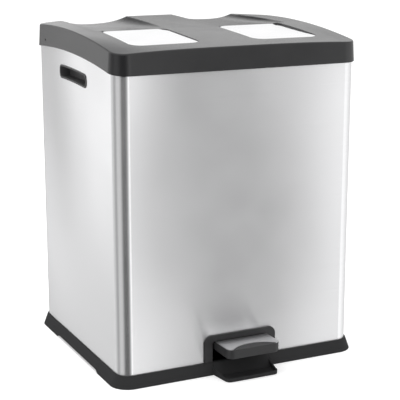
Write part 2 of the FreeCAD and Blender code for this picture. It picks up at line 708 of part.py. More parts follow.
def headed_pin(radius, half_length, y, z):
    """A pin along X with a flat head at each end."""
    shank = rod_x(radius, -half_length, half_length, y, z)
    head = rod_x(PIN_HEAD_GROWTH * radius, half_length, half_length + PIN_HEAD, y, z)
    return fused([shank] + both_sides(head))


def lever_pin():
    return headed_pin(LEVER_PIN_RADIUS, LEVER_WIDTH / 2, ROD_Y, LEVER_PIN_Z)


def pedal_outline(inset, rear_y):
    front_y = PEDAL_FRONT_Y + inset
    half = PEDAL_HALF_WIDTH - inset
    radius = PEDAL_RADIUS - inset
    return rounded_wire([
        (-half, front_y, radius), (half, front_y, radius),
        (half, rear_y, HIDDEN_RADIUS), (-half, rear_y, HIDDEN_RADIUS),
    ])


def pedal_top_z(y):
    return PEDAL_REAR_Z - PEDAL_SLOPE * (y - FRONT_Y)


def pedal_slice(low, high):
    """All that lies between two heights counted from the pedal's sloping top."""
    y0 = PEDAL_FRONT_Y - PEDAL_TAIL
    y1 = PEDAL_REAR_Y + PEDAL_TAIL
    return side_prism(
        [(y0, pedal_top_z(y0) + low), (y1, pedal_top_z(y1) + low),
         (y1, pedal_top_z(y1) + high), (y0, pedal_top_z(y0) + high)],
        2 * PEDAL_HALF_WIDTH,
    )


def pedal_body():
    """The plastic pedal, hollow below, whose roof lies on the lever."""
    top_z = pedal_top_z(PEDAL_FRONT_Y)
    block = extruded(pedal_outline(0, PEDAL_REAR_Y), PEDAL_BOTTOM_Z, top_z)
    hollow = extruded(pedal_outline(PEDAL_WALL, PEDAL_REAR_Y + PEDAL_TAIL), PEDAL_BOTTOM_Z, LEVER_TOP_Z)
    return block.cut(pedal_slice(0, PEDAL_HEIGHT)).cut(hollow)


def pedal_tread():
    """The steel plate on the pedal, scooped at its front edge."""
    plate = extruded(pedal_outline(TREAD_INSET, FRONT_Y - TREAD_START), PEDAL_BOTTOM_Z, 2 * PEDAL_REAR_Z)
    plate = plate.common(pedal_slice(0, TREAD_SHEET))
    scoop_y = PEDAL_FRONT_Y + TREAD_SCOOP_DEPTH - TREAD_SCOOP_RADIUS
    return plate.cut(rod_z(TREAD_SCOOP_RADIUS, 0, scoop_y, PEDAL_BOTTOM_Z, 2 * PEDAL_REAR_Z))


def pedal_screws():
    """Two screws up through the lever into the pedal's roof."""
    z = LEVER_TOP_Z - LEVER_SHEET
    heads = []
    for y in (LEVER_FRONT_Y + LEVER_HEIGHT, FRONT_Y - LEVER_HEIGHT):
        heads.append(rod_z(SCREW_RADIUS, 0, y, z - SCREW_HEAD, z))
    return Part.makeCompound(heads)


def long_slot(z, radius, reach):
    """A slot along Y through the rod, round at both ends."""
    x = ROD_THICKNESS
    middle = box(-x, x, ROD_Y - reach, ROD_Y + reach, z - radius, z + radius)
    return fused([middle, rod_x(radius, -x, x, ROD_Y - reach, z), rod_x(radius, -x, x, ROD_Y + reach, z)])


def push_rod():
    """A flat steel strip with a slotted foot for the lever's pin and a slotted head for the crank's."""
    x = ROD_THICKNESS / 2
    strip = box(-x, x, ROD_Y - ROD_WIDTH / 2, ROD_Y + ROD_WIDTH / 2, LEVER_PIN_Z - ROD_FOOT, CRANK_Z)
    head = box(
        -x, x, ROD_Y - ROD_HEAD_WIDTH / 2, ROD_Y + ROD_HEAD_WIDTH / 2,
        CRANK_Z - ROD_HEAD_HEIGHT / 2, CRANK_Z + ROD_HEAD_HEIGHT / 2,
    )
    rod = fused([strip, head])
    rod = rod.cut(long_slot(LEVER_PIN_Z, LEVER_PIN_RADIUS + ROD_PIN_SLACK, ROD_FOOT_SLACK))
    return rod.cut(long_slot(CRANK_Z, CRANK_PIN_RADIUS + ROD_PIN_SLACK, ROD_SWAY + ROD_HEAD_SLACK))


# ---------------------------------------------------------------- inner buckets

def bucket_outline(inset, z, taper):
    half_width = BUCKET_WIDTH / 2 - inset - taper
    half_length = BUCKET_LENGTH / 2 - inset - taper
    return rectangle(
        -BUCKET_X - half_width, -BUCKET_X + half_width,
        BUCKET_Y - half_length, BUCKET_Y + half_length, BUCKET_RADIUS - inset, z,
    )


def bucket():
    """The left bucket: a tapered tub with a turned-down lip and an ear for the bail at each end."""
    lip_bottom = BUCKET_TOP_Z - BUCKET_LIP_DROP
    tub = Part.makeLoft(
        [bucket_outline(0, BUCKET_BOTTOM_Z, BUCKET_TAPER), bucket_outline(0, BUCKET_TOP_Z, 0)], True, True,
    )
    lip = extruded(bucket_outline(-BUCKET_LIP, 0, 0), lip_bottom, BUCKET_TOP_Z)
    lip = lip.cut(extruded(
        bucket_outline(BUCKET_LIP_WALL - BUCKET_LIP, 0, 0), lip_bottom, BUCKET_TOP_Z - BUCKET_LIP_WALL,
    ))
    whole = [lip, tub]
    for side in (-1, 1):
        inner = BUCKET_Y + side * (BUCKET_LENGTH / 2 - BUCKET_WALL)
        whole.append(rod_y(EAR_RADIUS, inner, BUCKET_Y + side * BUCKET_LIP_Y, -BUCKET_X, EAR_Z))
    whole = fused(whole).cut(Part.makeLoft(
        [bucket_outline(BUCKET_WALL, BUCKET_BOTTOM_Z + BUCKET_FLOOR, BUCKET_TAPER),
         bucket_outline(BUCKET_WALL, BUCKET_TOP_Z, 0)], True, True,
    ))
    for side in (-1, 1):
        outer = BUCKET_Y + side * BUCKET_LIP_Y
        inner = outer - side * EAR_HOLE_DEPTH
        whole = whole.cut(rod_y(BAIL_WIRE_RADIUS + RUNNING_GAP, inner, outer, -BUCKET_X, EAR_Z))
    return whole


def bail_point(along, y):
    """A point of the left bail at rest: along its arm from the ear, and y from the bucket's middle."""
    return Vector(
        -BUCKET_X - along * math.cos(BAIL_REST), BUCKET_Y + y, EAR_Z + along * math.sin(BAIL_REST),
    )


def bail_turn(start, middle, end):
    return Part.Arc(bail_point(*start), bail_point(*middle), bail_point(*end)).toShape()


def bail_run(start, end):
    return Part.LineSegment(bail_point(*start), bail_point(*end)).toShape()


def bail_wire():
    """The left bail: a pin in each ear, two arms and a bar, lying over the bucket's outer rim."""
    eye = BAIL_EYE_RADIUS
    bend = BAIL_BEND_RADIUS
    part_turn = 1 - math.sqrt(0.5)
    pin_y = BUCKET_LIP_Y - EAR_HOLE_DEPTH + BAIL_PIN_GAP
    path = Part.Wire([
        bail_run((0, -pin_y), (0, eye - BAIL_ARM_Y)),
        bail_turn((0, eye - BAIL_ARM_Y), (eye * part_turn, eye * part_turn - BAIL_ARM_Y), (eye, -BAIL_ARM_Y)),
        bail_run((eye, -BAIL_ARM_Y), (BAIL_ARM - bend, -BAIL_ARM_Y)),
        bail_turn(
            (BAIL_ARM - bend, -BAIL_ARM_Y), (BAIL_ARM - bend * part_turn, bend * part_turn - BAIL_ARM_Y),
            (BAIL_ARM, bend - BAIL_ARM_Y),
        ),
        bail_run((BAIL_ARM, bend - BAIL_ARM_Y), (BAIL_ARM, 0)),
    ])
    section = Part.Wire([Part.Circle(bail_point(0, -pin_y), Vector(0, 1, 0), BAIL_WIRE_RADIUS).toShape()])
    half = path.makePipeShell([section], True, False)
    return fused([half, half.mirror(Vector(0, BUCKET_Y, 0), Vector(0, 1, 0))])


def bail_grip():
    middle = bail_point(BAIL_ARM, 0)
    y0 = middle.y - BAIL_GRIP_LENGTH / 2
    y1 = middle.y + BAIL_GRIP_LENGTH / 2
    sleeve = rod_y(BAIL_GRIP_RADIUS, y0, y1, middle.x, middle.z)
    return sleeve.cut(rod_y(BAIL_WIRE_RADIUS, y0, y1, middle.x, middle.z))


# ---------------------------------------------------------------- lid

def smooth_step(value):
    value = max(0.0, min(1.0, value))
    return value * value * (3 - 2 * value)


def arc_z(rise, crest_y, radius, y):
    """Height of a shallow arc along Y, from its crest's rise above the body's top."""
    return BODY_TOP_Z + rise - (y - crest_y) ** 2 / (2 * radius)


def ridge_z(y):
    return arc_z(RIDGE_CREST_RISE, RIDGE_CREST_Y, RIDGE_CREST_RADIUS, y)


def lid_top_z(x, y):
    """Height of the lid's top: an arch along Y, crowned along X, with a well behind each plate."""
    side = arc_z(SIDE_CREST_RISE, SIDE_CREST_Y, SIDE_CREST_RADIUS, y)
    top = ridge_z(y) + (side - ridge_z(y)) * (abs(x) / SIDE_X) ** CROWN_POWER
    if y <= PLATE_REAR_Y:
        return top
    back = (y - PLATE_REAR_Y) / (REAR_Y - PLATE_REAR_Y)
    inner_wall = WELL_WALL_START + (WELL_INNER_WALL_END - WELL_WALL_START) * back
    outer_wall = WELL_WALL_START + (WELL_OUTER_WALL_END - WELL_WALL_START) * back
    inside = smooth_step((abs(x) - WELL_INNER_X) / inner_wall)
    inside *= smooth_step((WELL_OUTER_X - abs(x)) / outer_wall)
    floor = arc_z(WELL_CREST_RISE, WELL_CREST_Y, WELL_CREST_RADIUS, y)
    return top - max(0.0, top - floor) * inside


def above_surface(drop):
    """All that lies above the lid's top surface lowered by drop."""
    x_steps = math.ceil((SIDE_X + SURFACE_STEP) / SURFACE_STEP)
    y_steps = math.ceil((REAR_Y + SURFACE_STEP) / SURFACE_STEP)
    rows = []
    for i in range(-x_steps, x_steps + 1):
        x = i * SURFACE_STEP
        heights = [(j * SURFACE_STEP, lid_top_z(x, j * SURFACE_STEP)) for j in range(-y_steps, y_steps + 1)]
        rows.append([Vector(x, y, z - drop) for y, z in heights])
    surface = Part.BSplineSurface()
    surface.interpolate(rows)
    return surface.toShape().extrude(Vector(0, 0, LID_TOP_Z))


def lid_outline(inset, z):
    """The lid's outline at height z: it widens downwards, and is drawn in by inset."""
    return body_outline(LID_OVERHANG - LID_DRAFT * (z - BODY_TOP_Z + LID_SKIRT_DROP) - inset, z)


def lid_block(inset):
    low_z = BODY_TOP_Z - 2 * LID_SKIRT_DROP
    return Part.makeLoft([lid_outline(inset, low_z), lid_outline(inset, LID_TOP_Z)], True, True)


def plate_outline(gap):
    return rectangle(
        -PLATE_OUTER_X - gap, -PLATE_INNER_X + gap, PLATE_FRONT_Y - gap, PLATE_REAR_Y + gap,
        PLATE_RADIUS + gap,
    )


def plate_slice(low, high):
    """All that lies between two heights counted from the plates' sloping top."""
    front_z = ridge_z(PLATE_FRONT_Y) - PLATE_SINK
    rear_z = ridge_z(PLATE_REAR_Y) - PLATE_SINK
    slope = (rear_z - front_z) / PLATE_LENGTH
    margin = 2 * PLATE_GAP
    y0 = PLATE_FRONT_Y - margin
    y1 = PLATE_REAR_Y + margin
    front_z -= slope * margin
    rear_z += slope * margin
    return side_prism(
        [(y0, front_z + low), (y1, rear_z + low), (y1, rear_z + high), (y0, front_z + high)], SIDE_X,
    )


def lid_plate():
    """The left plate: a thin steel sheet that lies in its pocket."""
    return extruded(plate_outline(0), BODY_TOP_Z, LID_TOP_Z).common(plate_slice(-PLATE_SHEET, 0))


def hinge_lug(x):
    """The lid's knuckle between the two ears of a bracket, hanging from the rear skirt."""
    half = LUG_WIDTH / 2 - LOOSE_GAP
    knuckle = rod_x(KNUCKLE_RADIUS, x - half, x + half, HINGE_Y, HINGE_Z)
    web = box(
        x - half, x + half, REAR_Y + LID_OVERHANG - LID_SKIRT_WALL, HINGE_Y,
        HINGE_Z, NOTCH_TOP_Z + KNUCKLE_RADIUS,
    )
    return fused([knuckle, web])


def rounded_top(block):
    """The lid's block with its upper edge rounded over."""
    upper = [
        edge for edge in block.Edges
        if min(vertex.Point.z for vertex in edge.Vertexes) > BODY_TOP_Z
    ]
    return block.makeFillet(LID_EDGE_ROUND, upper)


def lid_shell():
    """The one-piece lid: arched top, skirt with an arched lower edge, plate pockets and hinge lugs."""
    shell = rounded_top(lid_block(0).cut(above_surface(0)))
    shell = shell.cut(lid_block(LID_SKIRT_WALL).cut(above_surface(LID_TOP_WALL)))
    shell = shell.cut(rod_x(LID_ARCH_RADIUS, -BODY_WIDTH, BODY_WIDTH, LID_ARCH_Y, LID_ARCH_Z))
    pocket = extruded(plate_outline(PLATE_GAP), BODY_TOP_Z, LID_TOP_Z)
    pocket = pocket.common(plate_slice(-PLATE_SHEET, SURFACE_STEP))
    for left_or_right in both_sides(pocket):
        shell = shell.cut(left_or_right)
    for x in (-HINGE_X, HINGE_X):
        half = LUG_WIDTH / 2 + EAR_WIDTH + PIN_HEAD + LOOSE_GAP
        shell = shell.cut(box(
            x - half, x + half, REAR_Y, REAR_Y + 2 * LID_OVERHANG, LEAF_TOP_Z, NOTCH_TOP_Z,
        ))
        shell = shell.fuse(hinge_lug(x))
        shell = shell.cut(rod_x(HINGE_PIN_RADIUS + RUNNING_GAP, x - half, x + half, HINGE_Y, HINGE_Z))
    return shell.removeSplitter()


def lid_liner():
    """The lid's inner cover: a flat panel on posts that meet the underside of the lid."""
    whole = [extruded(body_outline(-LINER_EDGE_GAP), LINER_Z, LINER_Z + LINER_SHEET)]
    for x, y in LINER_POSTS:
        whole.append(rod_z(POST_RADIUS, x, y, LINER_Z, LID_TOP_Z))
    return fused(whole).cut(above_surface(LID_TOP_WALL))


def liner_screws():
    heads = [rod_z(SCREW_RADIUS, x, y, LINER_Z - SCREW_HEAD, LINER_Z) for x, y in LINER_POSTS]
    return Part.makeCompound(heads)


def lid_buffers():
    x = SIDE_X - LINER_EDGE_GAP - BUFFER_RADIUS
    pads = []
    for y in (FRONT_Y / 2, REAR_Y / 2):
        pads += both_sides(rod_z(BUFFER_RADIUS, x, y, COLLAR_TOP_Z + LOOSE_GAP, LINER_Z))
    return Part.makeCompound(pads)


def crank_fork():
    """Two cheeks under a plate on the lid's liner, which carry the crank pin."""
    plate_z = LINER_Z - CRANK_PLATE
    y0 = CRANK_Y - CRANK_HALF_DEPTH
    y1 = CRANK_Y + CRANK_HALF_DEPTH
    x0 = ROD_THICKNESS / 2 + CRANK_SIDE_GAP
    x1 = x0 + CRANK_CHEEK
    cheek = fused([box(x0, x1, y0, y1, CRANK_Z, plate_z), rod_x(CRANK_HALF_DEPTH, x0, x1, CRANK_Y, CRANK_Z)])
    plate = box(-CRANK_PLATE_HALF_WIDTH, CRANK_PLATE_HALF_WIDTH, y0, y1, plate_z, LINER_Z)
    return fused([plate] + both_sides(cheek)).cut(rod_x(CRANK_PIN_RADIUS, -x1, x1, CRANK_Y, CRANK_Z))


def crank_pin():
    return headed_pin(CRANK_PIN_RADIUS, ROD_THICKNESS / 2 + CRANK_SIDE_GAP + CRANK_CHEEK, CRANK_Y, CRANK_Z)


def hinge_bracket(x):
    """A leaf on the body's rear wall with two ears that hold the hinge pin."""
    inner = LUG_WIDTH / 2
    outer = inner + EAR_WIDTH
    pieces = [box(x - outer, x + outer, REAR_Y, REAR_Y + LEAF_THICKNESS, LEAF_BOTTOM_Z, LEAF_TOP_Z)]
    for x0 in (x - outer, x + inner):
        pieces.append(rod_x(KNUCKLE_RADIUS, x0, x0 + EAR_WIDTH, HINGE_Y, HINGE_Z))
        gusset = side_prism(
            [(REAR_Y, LEAF_TOP_Z - LEAF_HEIGHT / 2), (HINGE_Y + KNUCKLE_RADIUS, HINGE_Z),
             (REAR_Y + LEAF_THICKNESS / 2, HINGE_Z), (REAR_Y, LEAF_TOP_Z)],
            EAR_WIDTH / 2,
        )
        gusset.translate(Vector(x0 + EAR_WIDTH / 2, 0, 0))
        pieces.append(gusset)
    return fused(pieces).cut(rod_x(HINGE_PIN_RADIUS, x - outer, x + outer, HINGE_Y, HINGE_Z))


def hinge_pin(x):
    pin = headed_pin(HINGE_PIN_RADIUS, LUG_WIDTH / 2 + EAR_WIDTH, HINGE_Y, HINGE_Z)
    pin.translate(Vector(x, 0, 0))
    return pin


def hinge_screws():
    y = REAR_Y + LEAF_THICKNESS
    z = LEAF_BOTTOM_Z + 1.5 * SCREW_RADIUS
    heads = []
    for x in (HINGE_X - LUG_WIDTH / 2, HINGE_X + LUG_WIDTH / 2):
        heads += both_sides(rod_y(SCREW_RADIUS, y, y + SCREW_HEAD, x, z))
    return Part.makeCompound(heads)


# ---------------------------------------------------------------- all pieces

def pieces():
    whole = {
        "body_shell": body_shell(),
        "plinth": plinth(),
        "foot_pads": foot_pads(),
        "toe_tray": toe_tray(),
        "pedal_surround": pedal_surround(),
        "top_collar": top_collar(),
        "bucket_deck": bucket_deck(),
        "deck_screws": deck_screws(),
        "divider_rail": divider_rail(),
        "bracket_screws": bracket_screws(),
        "pedal_axle": pedal_axle(),
        "axle_clips": axle_clips(),
        "rod_guides": rod_guides(),
        "guide_rivets": guide_rivets(),
        "hinge_bracket_left": hinge_bracket(-HINGE_X),
        "hinge_bracket_right": hinge_bracket(HINGE_X),
        "hinge_pin_left": hinge_pin(-HINGE_X),
        "hinge_pin_right": hinge_pin(HINGE_X),
        "hinge_screws": hinge_screws(),
        "pedal_lever": pedal_lever(),
        "lever_pin": lever_pin(),
        "pedal_body": pedal_body(),
        "pedal_tread": pedal_tread(),
        "pedal_screws": pedal_screws(),
        "push_rod": push_rod(),
        "lid_shell": lid_shell(),
        "lid_liner": lid_liner(),
        "liner_screws": liner_screws(),
        "lid_buffers": lid_buffers(),
        "crank_fork": crank_fork(),
        "crank_pin": crank_pin(),
    }
    pairs = {
        "grip_cup": grip_cup(),
        "axle_bracket": axle_bracket(),
        "inner_bucket": bucket(),
        "bail_wire": bail_wire(),
        "bail_grip": bail_grip(),
        "lid_plate": lid_plate(),
    }
    for name, left in pairs.items():
        whole[name + "_left"] = left
        whole[name + "_right"] = mirrored(left)
    return whole


os.makedirs("parts", exist_ok=True)
for name, shape in pieces().items():
    shape.translate(Vector(0, ORIGIN_SHIFT, 0))
    shape.exportStep(os.path.join("parts", name + ".step"))
    print(name, "solids", len(shape.Solids), "valid", shape.isValid(), "volume", round(shape.Volume))
print("lid opens", LID_OPEN_DEG, "deg, rod rises", round(ROD_TRAVEL, 2), "mm")
print("hinge", HINGE_Y + ORIGIN_SHIFT, HINGE_Z, "axle", AXLE_Y + ORIGIN_SHIFT, AXLE_Z)
print("bail pivot", BUCKET_X, EAR_Z, "swing", round(180 - 2 * math.degrees(BAIL_REST), 2), "deg")
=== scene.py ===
"""The double recycling bin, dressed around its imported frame: pieces, finishes, studio and camera.

Pieces are drawn in millimetres about the centre of the body, front towards -Y, and mesh_piece()
puts them in the row frame, which is in metres.
"""
import json
import math

import bmesh
import bpy
from mathutils import Matrix, Vector


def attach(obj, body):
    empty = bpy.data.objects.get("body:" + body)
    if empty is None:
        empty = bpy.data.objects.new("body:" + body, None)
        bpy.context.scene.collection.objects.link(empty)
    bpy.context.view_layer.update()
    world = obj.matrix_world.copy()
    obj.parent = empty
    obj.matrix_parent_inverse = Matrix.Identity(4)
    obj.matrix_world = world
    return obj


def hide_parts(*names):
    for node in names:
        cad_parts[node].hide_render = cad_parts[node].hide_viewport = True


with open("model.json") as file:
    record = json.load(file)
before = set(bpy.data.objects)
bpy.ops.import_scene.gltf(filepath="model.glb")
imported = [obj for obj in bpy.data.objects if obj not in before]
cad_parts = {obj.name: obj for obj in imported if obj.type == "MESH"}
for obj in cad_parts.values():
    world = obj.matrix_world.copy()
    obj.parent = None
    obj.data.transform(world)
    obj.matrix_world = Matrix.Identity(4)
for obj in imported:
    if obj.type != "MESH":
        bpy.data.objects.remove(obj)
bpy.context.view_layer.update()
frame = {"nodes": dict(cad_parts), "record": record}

BODY_CENTRE_Y = 26.75
TO_ROW_FRAME = Matrix.Scale(0.001, 4) @ Matrix.Translation((0, BODY_CENTRE_Y, 0))

# Body: one steel sheet bent round
SIDE_X = 250.0
FRONT_Y = -216.0
REAR_Y = 216.0
BODY_RADIUS = 26.0
SHEET = 0.8
SHEET_LOW = 14.0
BODY_TOP = 612.0
SEAM_HALF = 7.0
SEAM_LOW = 40.0
SEAM_TOP = 566.0

# Hand grips in both sides, counted from the skirt's arch
GRIP_FRONT = -68.0
GRIP_REAR = 78.0
GRIP_HALF = 13.5
GRIP_DROP = 43.5
GRIP_RADIUS = 10.0
GRIP_RIM = 1.5
GRIP_WALL = 1.8
GRIP_DEPTH = 21.0

# Base: it flares to its foot, and is raised between the feet at both sides
PLINTH_LOW = 0.5
PLINTH_TOP = 24.0
PLINTH_PROUD = 3.0
PLINTH_FLARE = 8.5
UPSTAND_TOP = 30.0
UPSTAND = 3.0
PAN_TOP = 10.0
FOOT_RIM = 10.0
RAISED_LOW = 6.0
RAISED_FRONT = -114.0
RAISED_REAR = 104.0
RAISED_RAMP = 8.0

# Opening for the pedal, and the frame round it
OPENING_X = 62.0
OPENING_TOP = 67.0
FRAME_X = 77.0
FRAME_TOP = 78.0
FRAME_PROUD = 4.0
SLEEVE = 2.0
SLEEVE_DEPTH = 16.0

# Toe dish
DISH_X = 63.0
DISH_TIP_X = 55.0
DISH_REACH = 59.5
DISH_WALL = 3.5
DISH_FLOOR = 3.0
DISH_LIP = 7.5
DISH_HIGH = 19.0
DISH_FALL = 43.0

# Pedal
PEDAL_X = 56.0
PEDAL_REACH = 65.0
PEDAL_RADIUS = 14.0
PEDAL_Z = 64.3
PEDAL_SLOPE = 0.036
PEDAL_LOW = 48.5
PEDAL_WALL = 3.0
TREAD = 1.4
SCOOP_RADIUS = 61.7
SCOOP_DEPTH = 22.0

# Collar round the mouth
MOUTH_X = 236.0
MOUTH_FRONT = -204.0
MOUTH_REAR = 183.3
MOUTH_RADIUS = 30.0
COLLAR_WALL = 2.5
ROD_SLOT_X = 12.0

# Lid
LID_LOW = 590.0
LID_OVERHANG = 4.6
LID_DRAFT = 0.06
LID_WALL = 2.4
ARCH_Y = 54.0
ARCH_RADIUS = 1800.0
ARCH_TOP = 607.5

# Arcs along the lid's top: the place and height of each arc's crest, and its radius
RIDGE_ARC = (360.0, 653.3, 7360.0)
SIDE_ARC = (75.0, 649.6, 1750.0)

# Bright plates
PLATE_INNER_X = 56.5
PLATE_OUTER_X = 196.5
PLATE_FRONT = -166.0
PLATE_REAR = 7.0
PLATE_RADIUS = 24.0
PLATE_THICK = 1.2
PLATE_BELOW_RIDGE = 0.8
PLATE_GAP = 0.4

# Wells behind the plates, that start a little in front of the plates' rear edge. Their walls fall from
# a crest by the ridge and one by the rim. Towards the rear the rim's crest comes in and both walls
# widen. The floor is the higher of two slopes, each given by its height at the plates and its fall
# from there to the rear.
WELL_LEAD = 5.0
RIDGE_EDGE = 52.0
RIDGE_WALL = 80.0
RIM_EDGE = 213.0
RIM_WALL = 50.0
RIM_COMES_IN = 16.0
WALLS_WIDEN = 15.0
WELL_FLOORS = ((642.7, 7.0), (641.0, 2.4))

# Dimples in the skirt at both sides
DIMPLE_Y = 156.0
DIMPLE_Z = 617.0
DIMPLE_RADIUS = 2.5
DIMPLE_DEPTH = 2.0

# Panel that closes the lid
PANEL_LOW = 617.0
PANEL_TOP = 619.0
PANEL_INSET = 6.0
PANEL_BORDER = 14.0
PANEL_RECESS = 0.7
POST_RADIUS = 7.0
POSTS = ((-222, -188), (0, -188), (222, -188), (-222, 188), (-60, 188), (60, 188), (222, 188))

# Hinges
HINGE_Y = 222.0
HINGE_Z = 598.0
HINGE_X = 150.0
LUG_HALF = 11.7
LUG_RADIUS = 5.2
LUG_TOP = 611.7
HINGE_NOTCH_HALF = 24.3
HINGE_NOTCH_TOP = 606.5

# Inner buckets
BUCKET_X = 113.75
BUCKET_Y = -10.35
BUCKET_TOP = 506.0
BUCKET_LOW = 77.3
BUCKET_HALF_X = 103.0
BUCKET_HALF_Y = 183.15
BUCKET_RADIUS = 30.0
BUCKET_WALL = 2.2
BUCKET_TAPER = 7.0
BUCKET_RIM = 3.5
BUCKET_RIM_DROP = 16.0
EAR_Z = 496.0
EAR_RADIUS = 6.5


# ---------------------------------------------------------------- shaping

def block(x0, x1, y0, y1, z0, z1):
    """A plain block."""
    bm = bmesh.new()
    bmesh.ops.create_cube(bm, size=1.0)
    bmesh.ops.translate(bm, vec=(0.5, 0.5, 0.5), verts=bm.verts)
    bmesh.ops.scale(bm, vec=(x1 - x0, y1 - y0, z1 - z0), verts=bm.verts)
    bmesh.ops.translate(bm, vec=(x0, y0, z0), verts=bm.verts)
    return bm


def round_edges(bm, edges, radius, segments=3):
    """Rounds edges of the mesh."""
    bmesh.ops.bevel(
        bm, geom=edges, offset=radius, offset_type="OFFSET", segments=segments, profile=0.5,
        affect="EDGES", material=-1,
    )


def edges_along(bm, axis):
    """The straight edges that run along an axis, 0, 1 or 2."""
    found = []
    for edge in bm.edges:
        way = edge.verts[1].co - edge.verts[0].co
        if abs(way[axis]) > 0.999 * way.length:
            found.append(edge)
    return found


def upper_edges_along_y(bm, z):
    """The edges of a block that run along Y above height z."""
    return [e for e in edges_along(bm, 1) if e.verts[0].co.z > z]


def front_corners(bm, y):
    """The upright edges of a block that stand in front of y."""
    return [e for e in edges_along(bm, 2) if e.verts[0].co.y < y]


def rounded_block(x0, x1, y0, y1, z0, z1, radius, segments=12):
    """A block with rounded upright corners."""
    bm = block(x0, x1, y0, y1, z0, z1)
    round_edges(bm, edges_along(bm, 2), radius, segments)
    return bm


def body_block(grow, z0, z1, segments=14):
    """A block over the body's outline, grown outwards."""
    return rounded_block(
        -SIDE_X - grow, SIDE_X + grow, FRONT_Y - grow, REAR_Y + grow, z0, z1, BODY_RADIUS + grow, segments,
    )


def bar(radius, start, end, segments=32):
    """A round bar between two points."""
    start = Vector(start)
    way = Vector(end) - start
    bm = bmesh.new()
    bmesh.ops.create_cone(
        bm, cap_ends=True, segments=segments, radius1=radius, radius2=radius, depth=way.length,
    )
    turn = way.to_track_quat("Z", "Y").to_matrix().to_4x4()
    bmesh.ops.transform(bm, matrix=Matrix.Translation(start + way / 2) @ turn, verts=bm.verts)
    return bm


def level_face(bm, side, z):
    """The largest level face at height z that looks up, side 1, or down, side -1."""
    bm.normal_update()
    faces = [
        f for f in bm.faces if side * f.normal.z > 0.99 and abs(f.calc_center_median().z - z) < 0.01
    ]
    return max(faces, key=lambda f: f.calc_area())


def terrace(bm, face, inset, z):
    """Draws a level face in, then moves what is left of it to height z along upright walls."""
    bmesh.ops.inset_region(bm, faces=[face], thickness=inset, use_even_offset=True)
    moved = bmesh.ops.extrude_discrete_faces(bm, faces=[face])["faces"][0]
    for vert in moved.verts:
        vert.co.z = z
    return moved


def cut_across(bm, axis, places):
    """Divides the mesh by planes square to an axis, at several places, and takes nothing away."""
    normal = Vector((0, 0, 0))
    normal[axis] = 1
    for place in places:
        bmesh.ops.bisect_plane(
            bm, geom=bm.verts[:] + bm.edges[:] + bm.faces[:], dist=1e-5,
            plane_co=normal * place, plane_no=normal,
        )


def joined(*parts):
    """Several closed shapes as one mesh."""
    whole = bmesh.new()
    for part in parts:
        mesh = bpy.data.meshes.new("part")
        part.to_mesh(mesh)
        part.free()
        whole.from_mesh(mesh)
        bpy.data.meshes.remove(mesh)
    return whole


def mirrored(bm):
    """A mirror image across X of the shape, with its faces pointing outwards again."""
    twin = bm.copy()
    bmesh.ops.scale(twin, vec=(-1, 1, 1), verts=twin.verts)
    bmesh.ops.reverse_faces(twin, faces=twin.faces)
    return twin


def loose_object(bm):
    """The shape as an object of its own, for a modifier to work on."""
    mesh = bpy.data.meshes.new("shaping")
    bm.to_mesh(mesh)
    bm.free()
    obj = bpy.data.objects.new("shaping", mesh)
    bpy.context.scene.collection.objects.link(obj)
    return obj


def modified(bm, kind, helper=None, **settings):
    """The shape as one of Blender's modifiers leaves it."""
    objects = [loose_object(bm)]
    modifier = objects[0].modifiers.new(kind, kind)
    if helper is not None:
        objects.append(loose_object(helper))
        modifier.object = objects[1]
    for name, value in settings.items():
        setattr(modifier, name, value)
    shaped = bpy.data.meshes.new_from_object(
        objects[0].evaluated_get(bpy.context.evaluated_depsgraph_get()))
    result = bmesh.new()
    result.from_mesh(shaped)
    bpy.data.meshes.remove(shaped)
    for obj in objects:
        mesh = obj.data
        bpy.data.objects.remove(obj)
        bpy.data.meshes.remove(mesh)
    return result


def united(bm, other):
    """Two shapes that meet, as one."""
    return modified(bm, "BOOLEAN", other, operation="UNION", solver="EXACT")


def carved(bm, *cutters):
    """The shape without what its cutters take away."""
    for cutter in cutters:
        bm = modified(bm, "BOOLEAN", cutter, operation="DIFFERENCE", solver="EXACT")
    return bm


def core_point(co):
    """The nearest place to a point inside the body's outline, from which its corners are rounded."""
    return Vector((
        max(-SIDE_X + BODY_RADIUS, min(SIDE_X - BODY_RADIUS, co.x)),
        max(FRONT_Y + BODY_RADIUS, min(REAR_Y - BODY_RADIUS, co.y)),
    ))


def outside_by(co):
    """How far a point lies outside the body's rounded outline."""
    return (co.xy - core_point(co)).length - BODY_RADIUS


def push_out(vert, distance):
    """Moves a vertex square to the body's outline."""
    away = (vert.co.xy - core_point(vert.co)).normalized() * distance
    vert.co.x += away.x
    vert.co.y += away.y


def mesh_piece(name, bm, body, nodes, slot, finish=None, edge=0.0, edge_segments=3, angle=35):
    """Makes the shape a finished piece that rides on a body and stands for CAD nodes."""
    bmesh.ops.transform(bm, matrix=TO_ROW_FRAME, verts=bm.verts)
    mesh = bpy.data.meshes.new(name)
    bm.to_mesh(mesh)
    bm.free()
    mesh.shade_smooth()
    obj = bpy.data.objects.new(name, mesh)
    bpy.context.scene.collection.objects.link(obj)
    mesh.materials.append(finish or FINISH[slot])
    if edge:
        bevel = obj.modifiers.new("edges", "BEVEL")
        bevel.width = edge * 0.001
        bevel.segments = edge_segments
        bevel.limit_method = "ANGLE"
        bevel.angle_limit = math.radians(angle)
    else:
        mesh.set_sharp_from_angle(angle=math.radians(angle))
    flat = obj.modifiers.new("flat_faces", "WEIGHTED_NORMAL")
    flat.keep_sharp = True
    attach(obj, body)
    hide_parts(*nodes)
    return obj


# ---------------------------------------------------------------- finishes

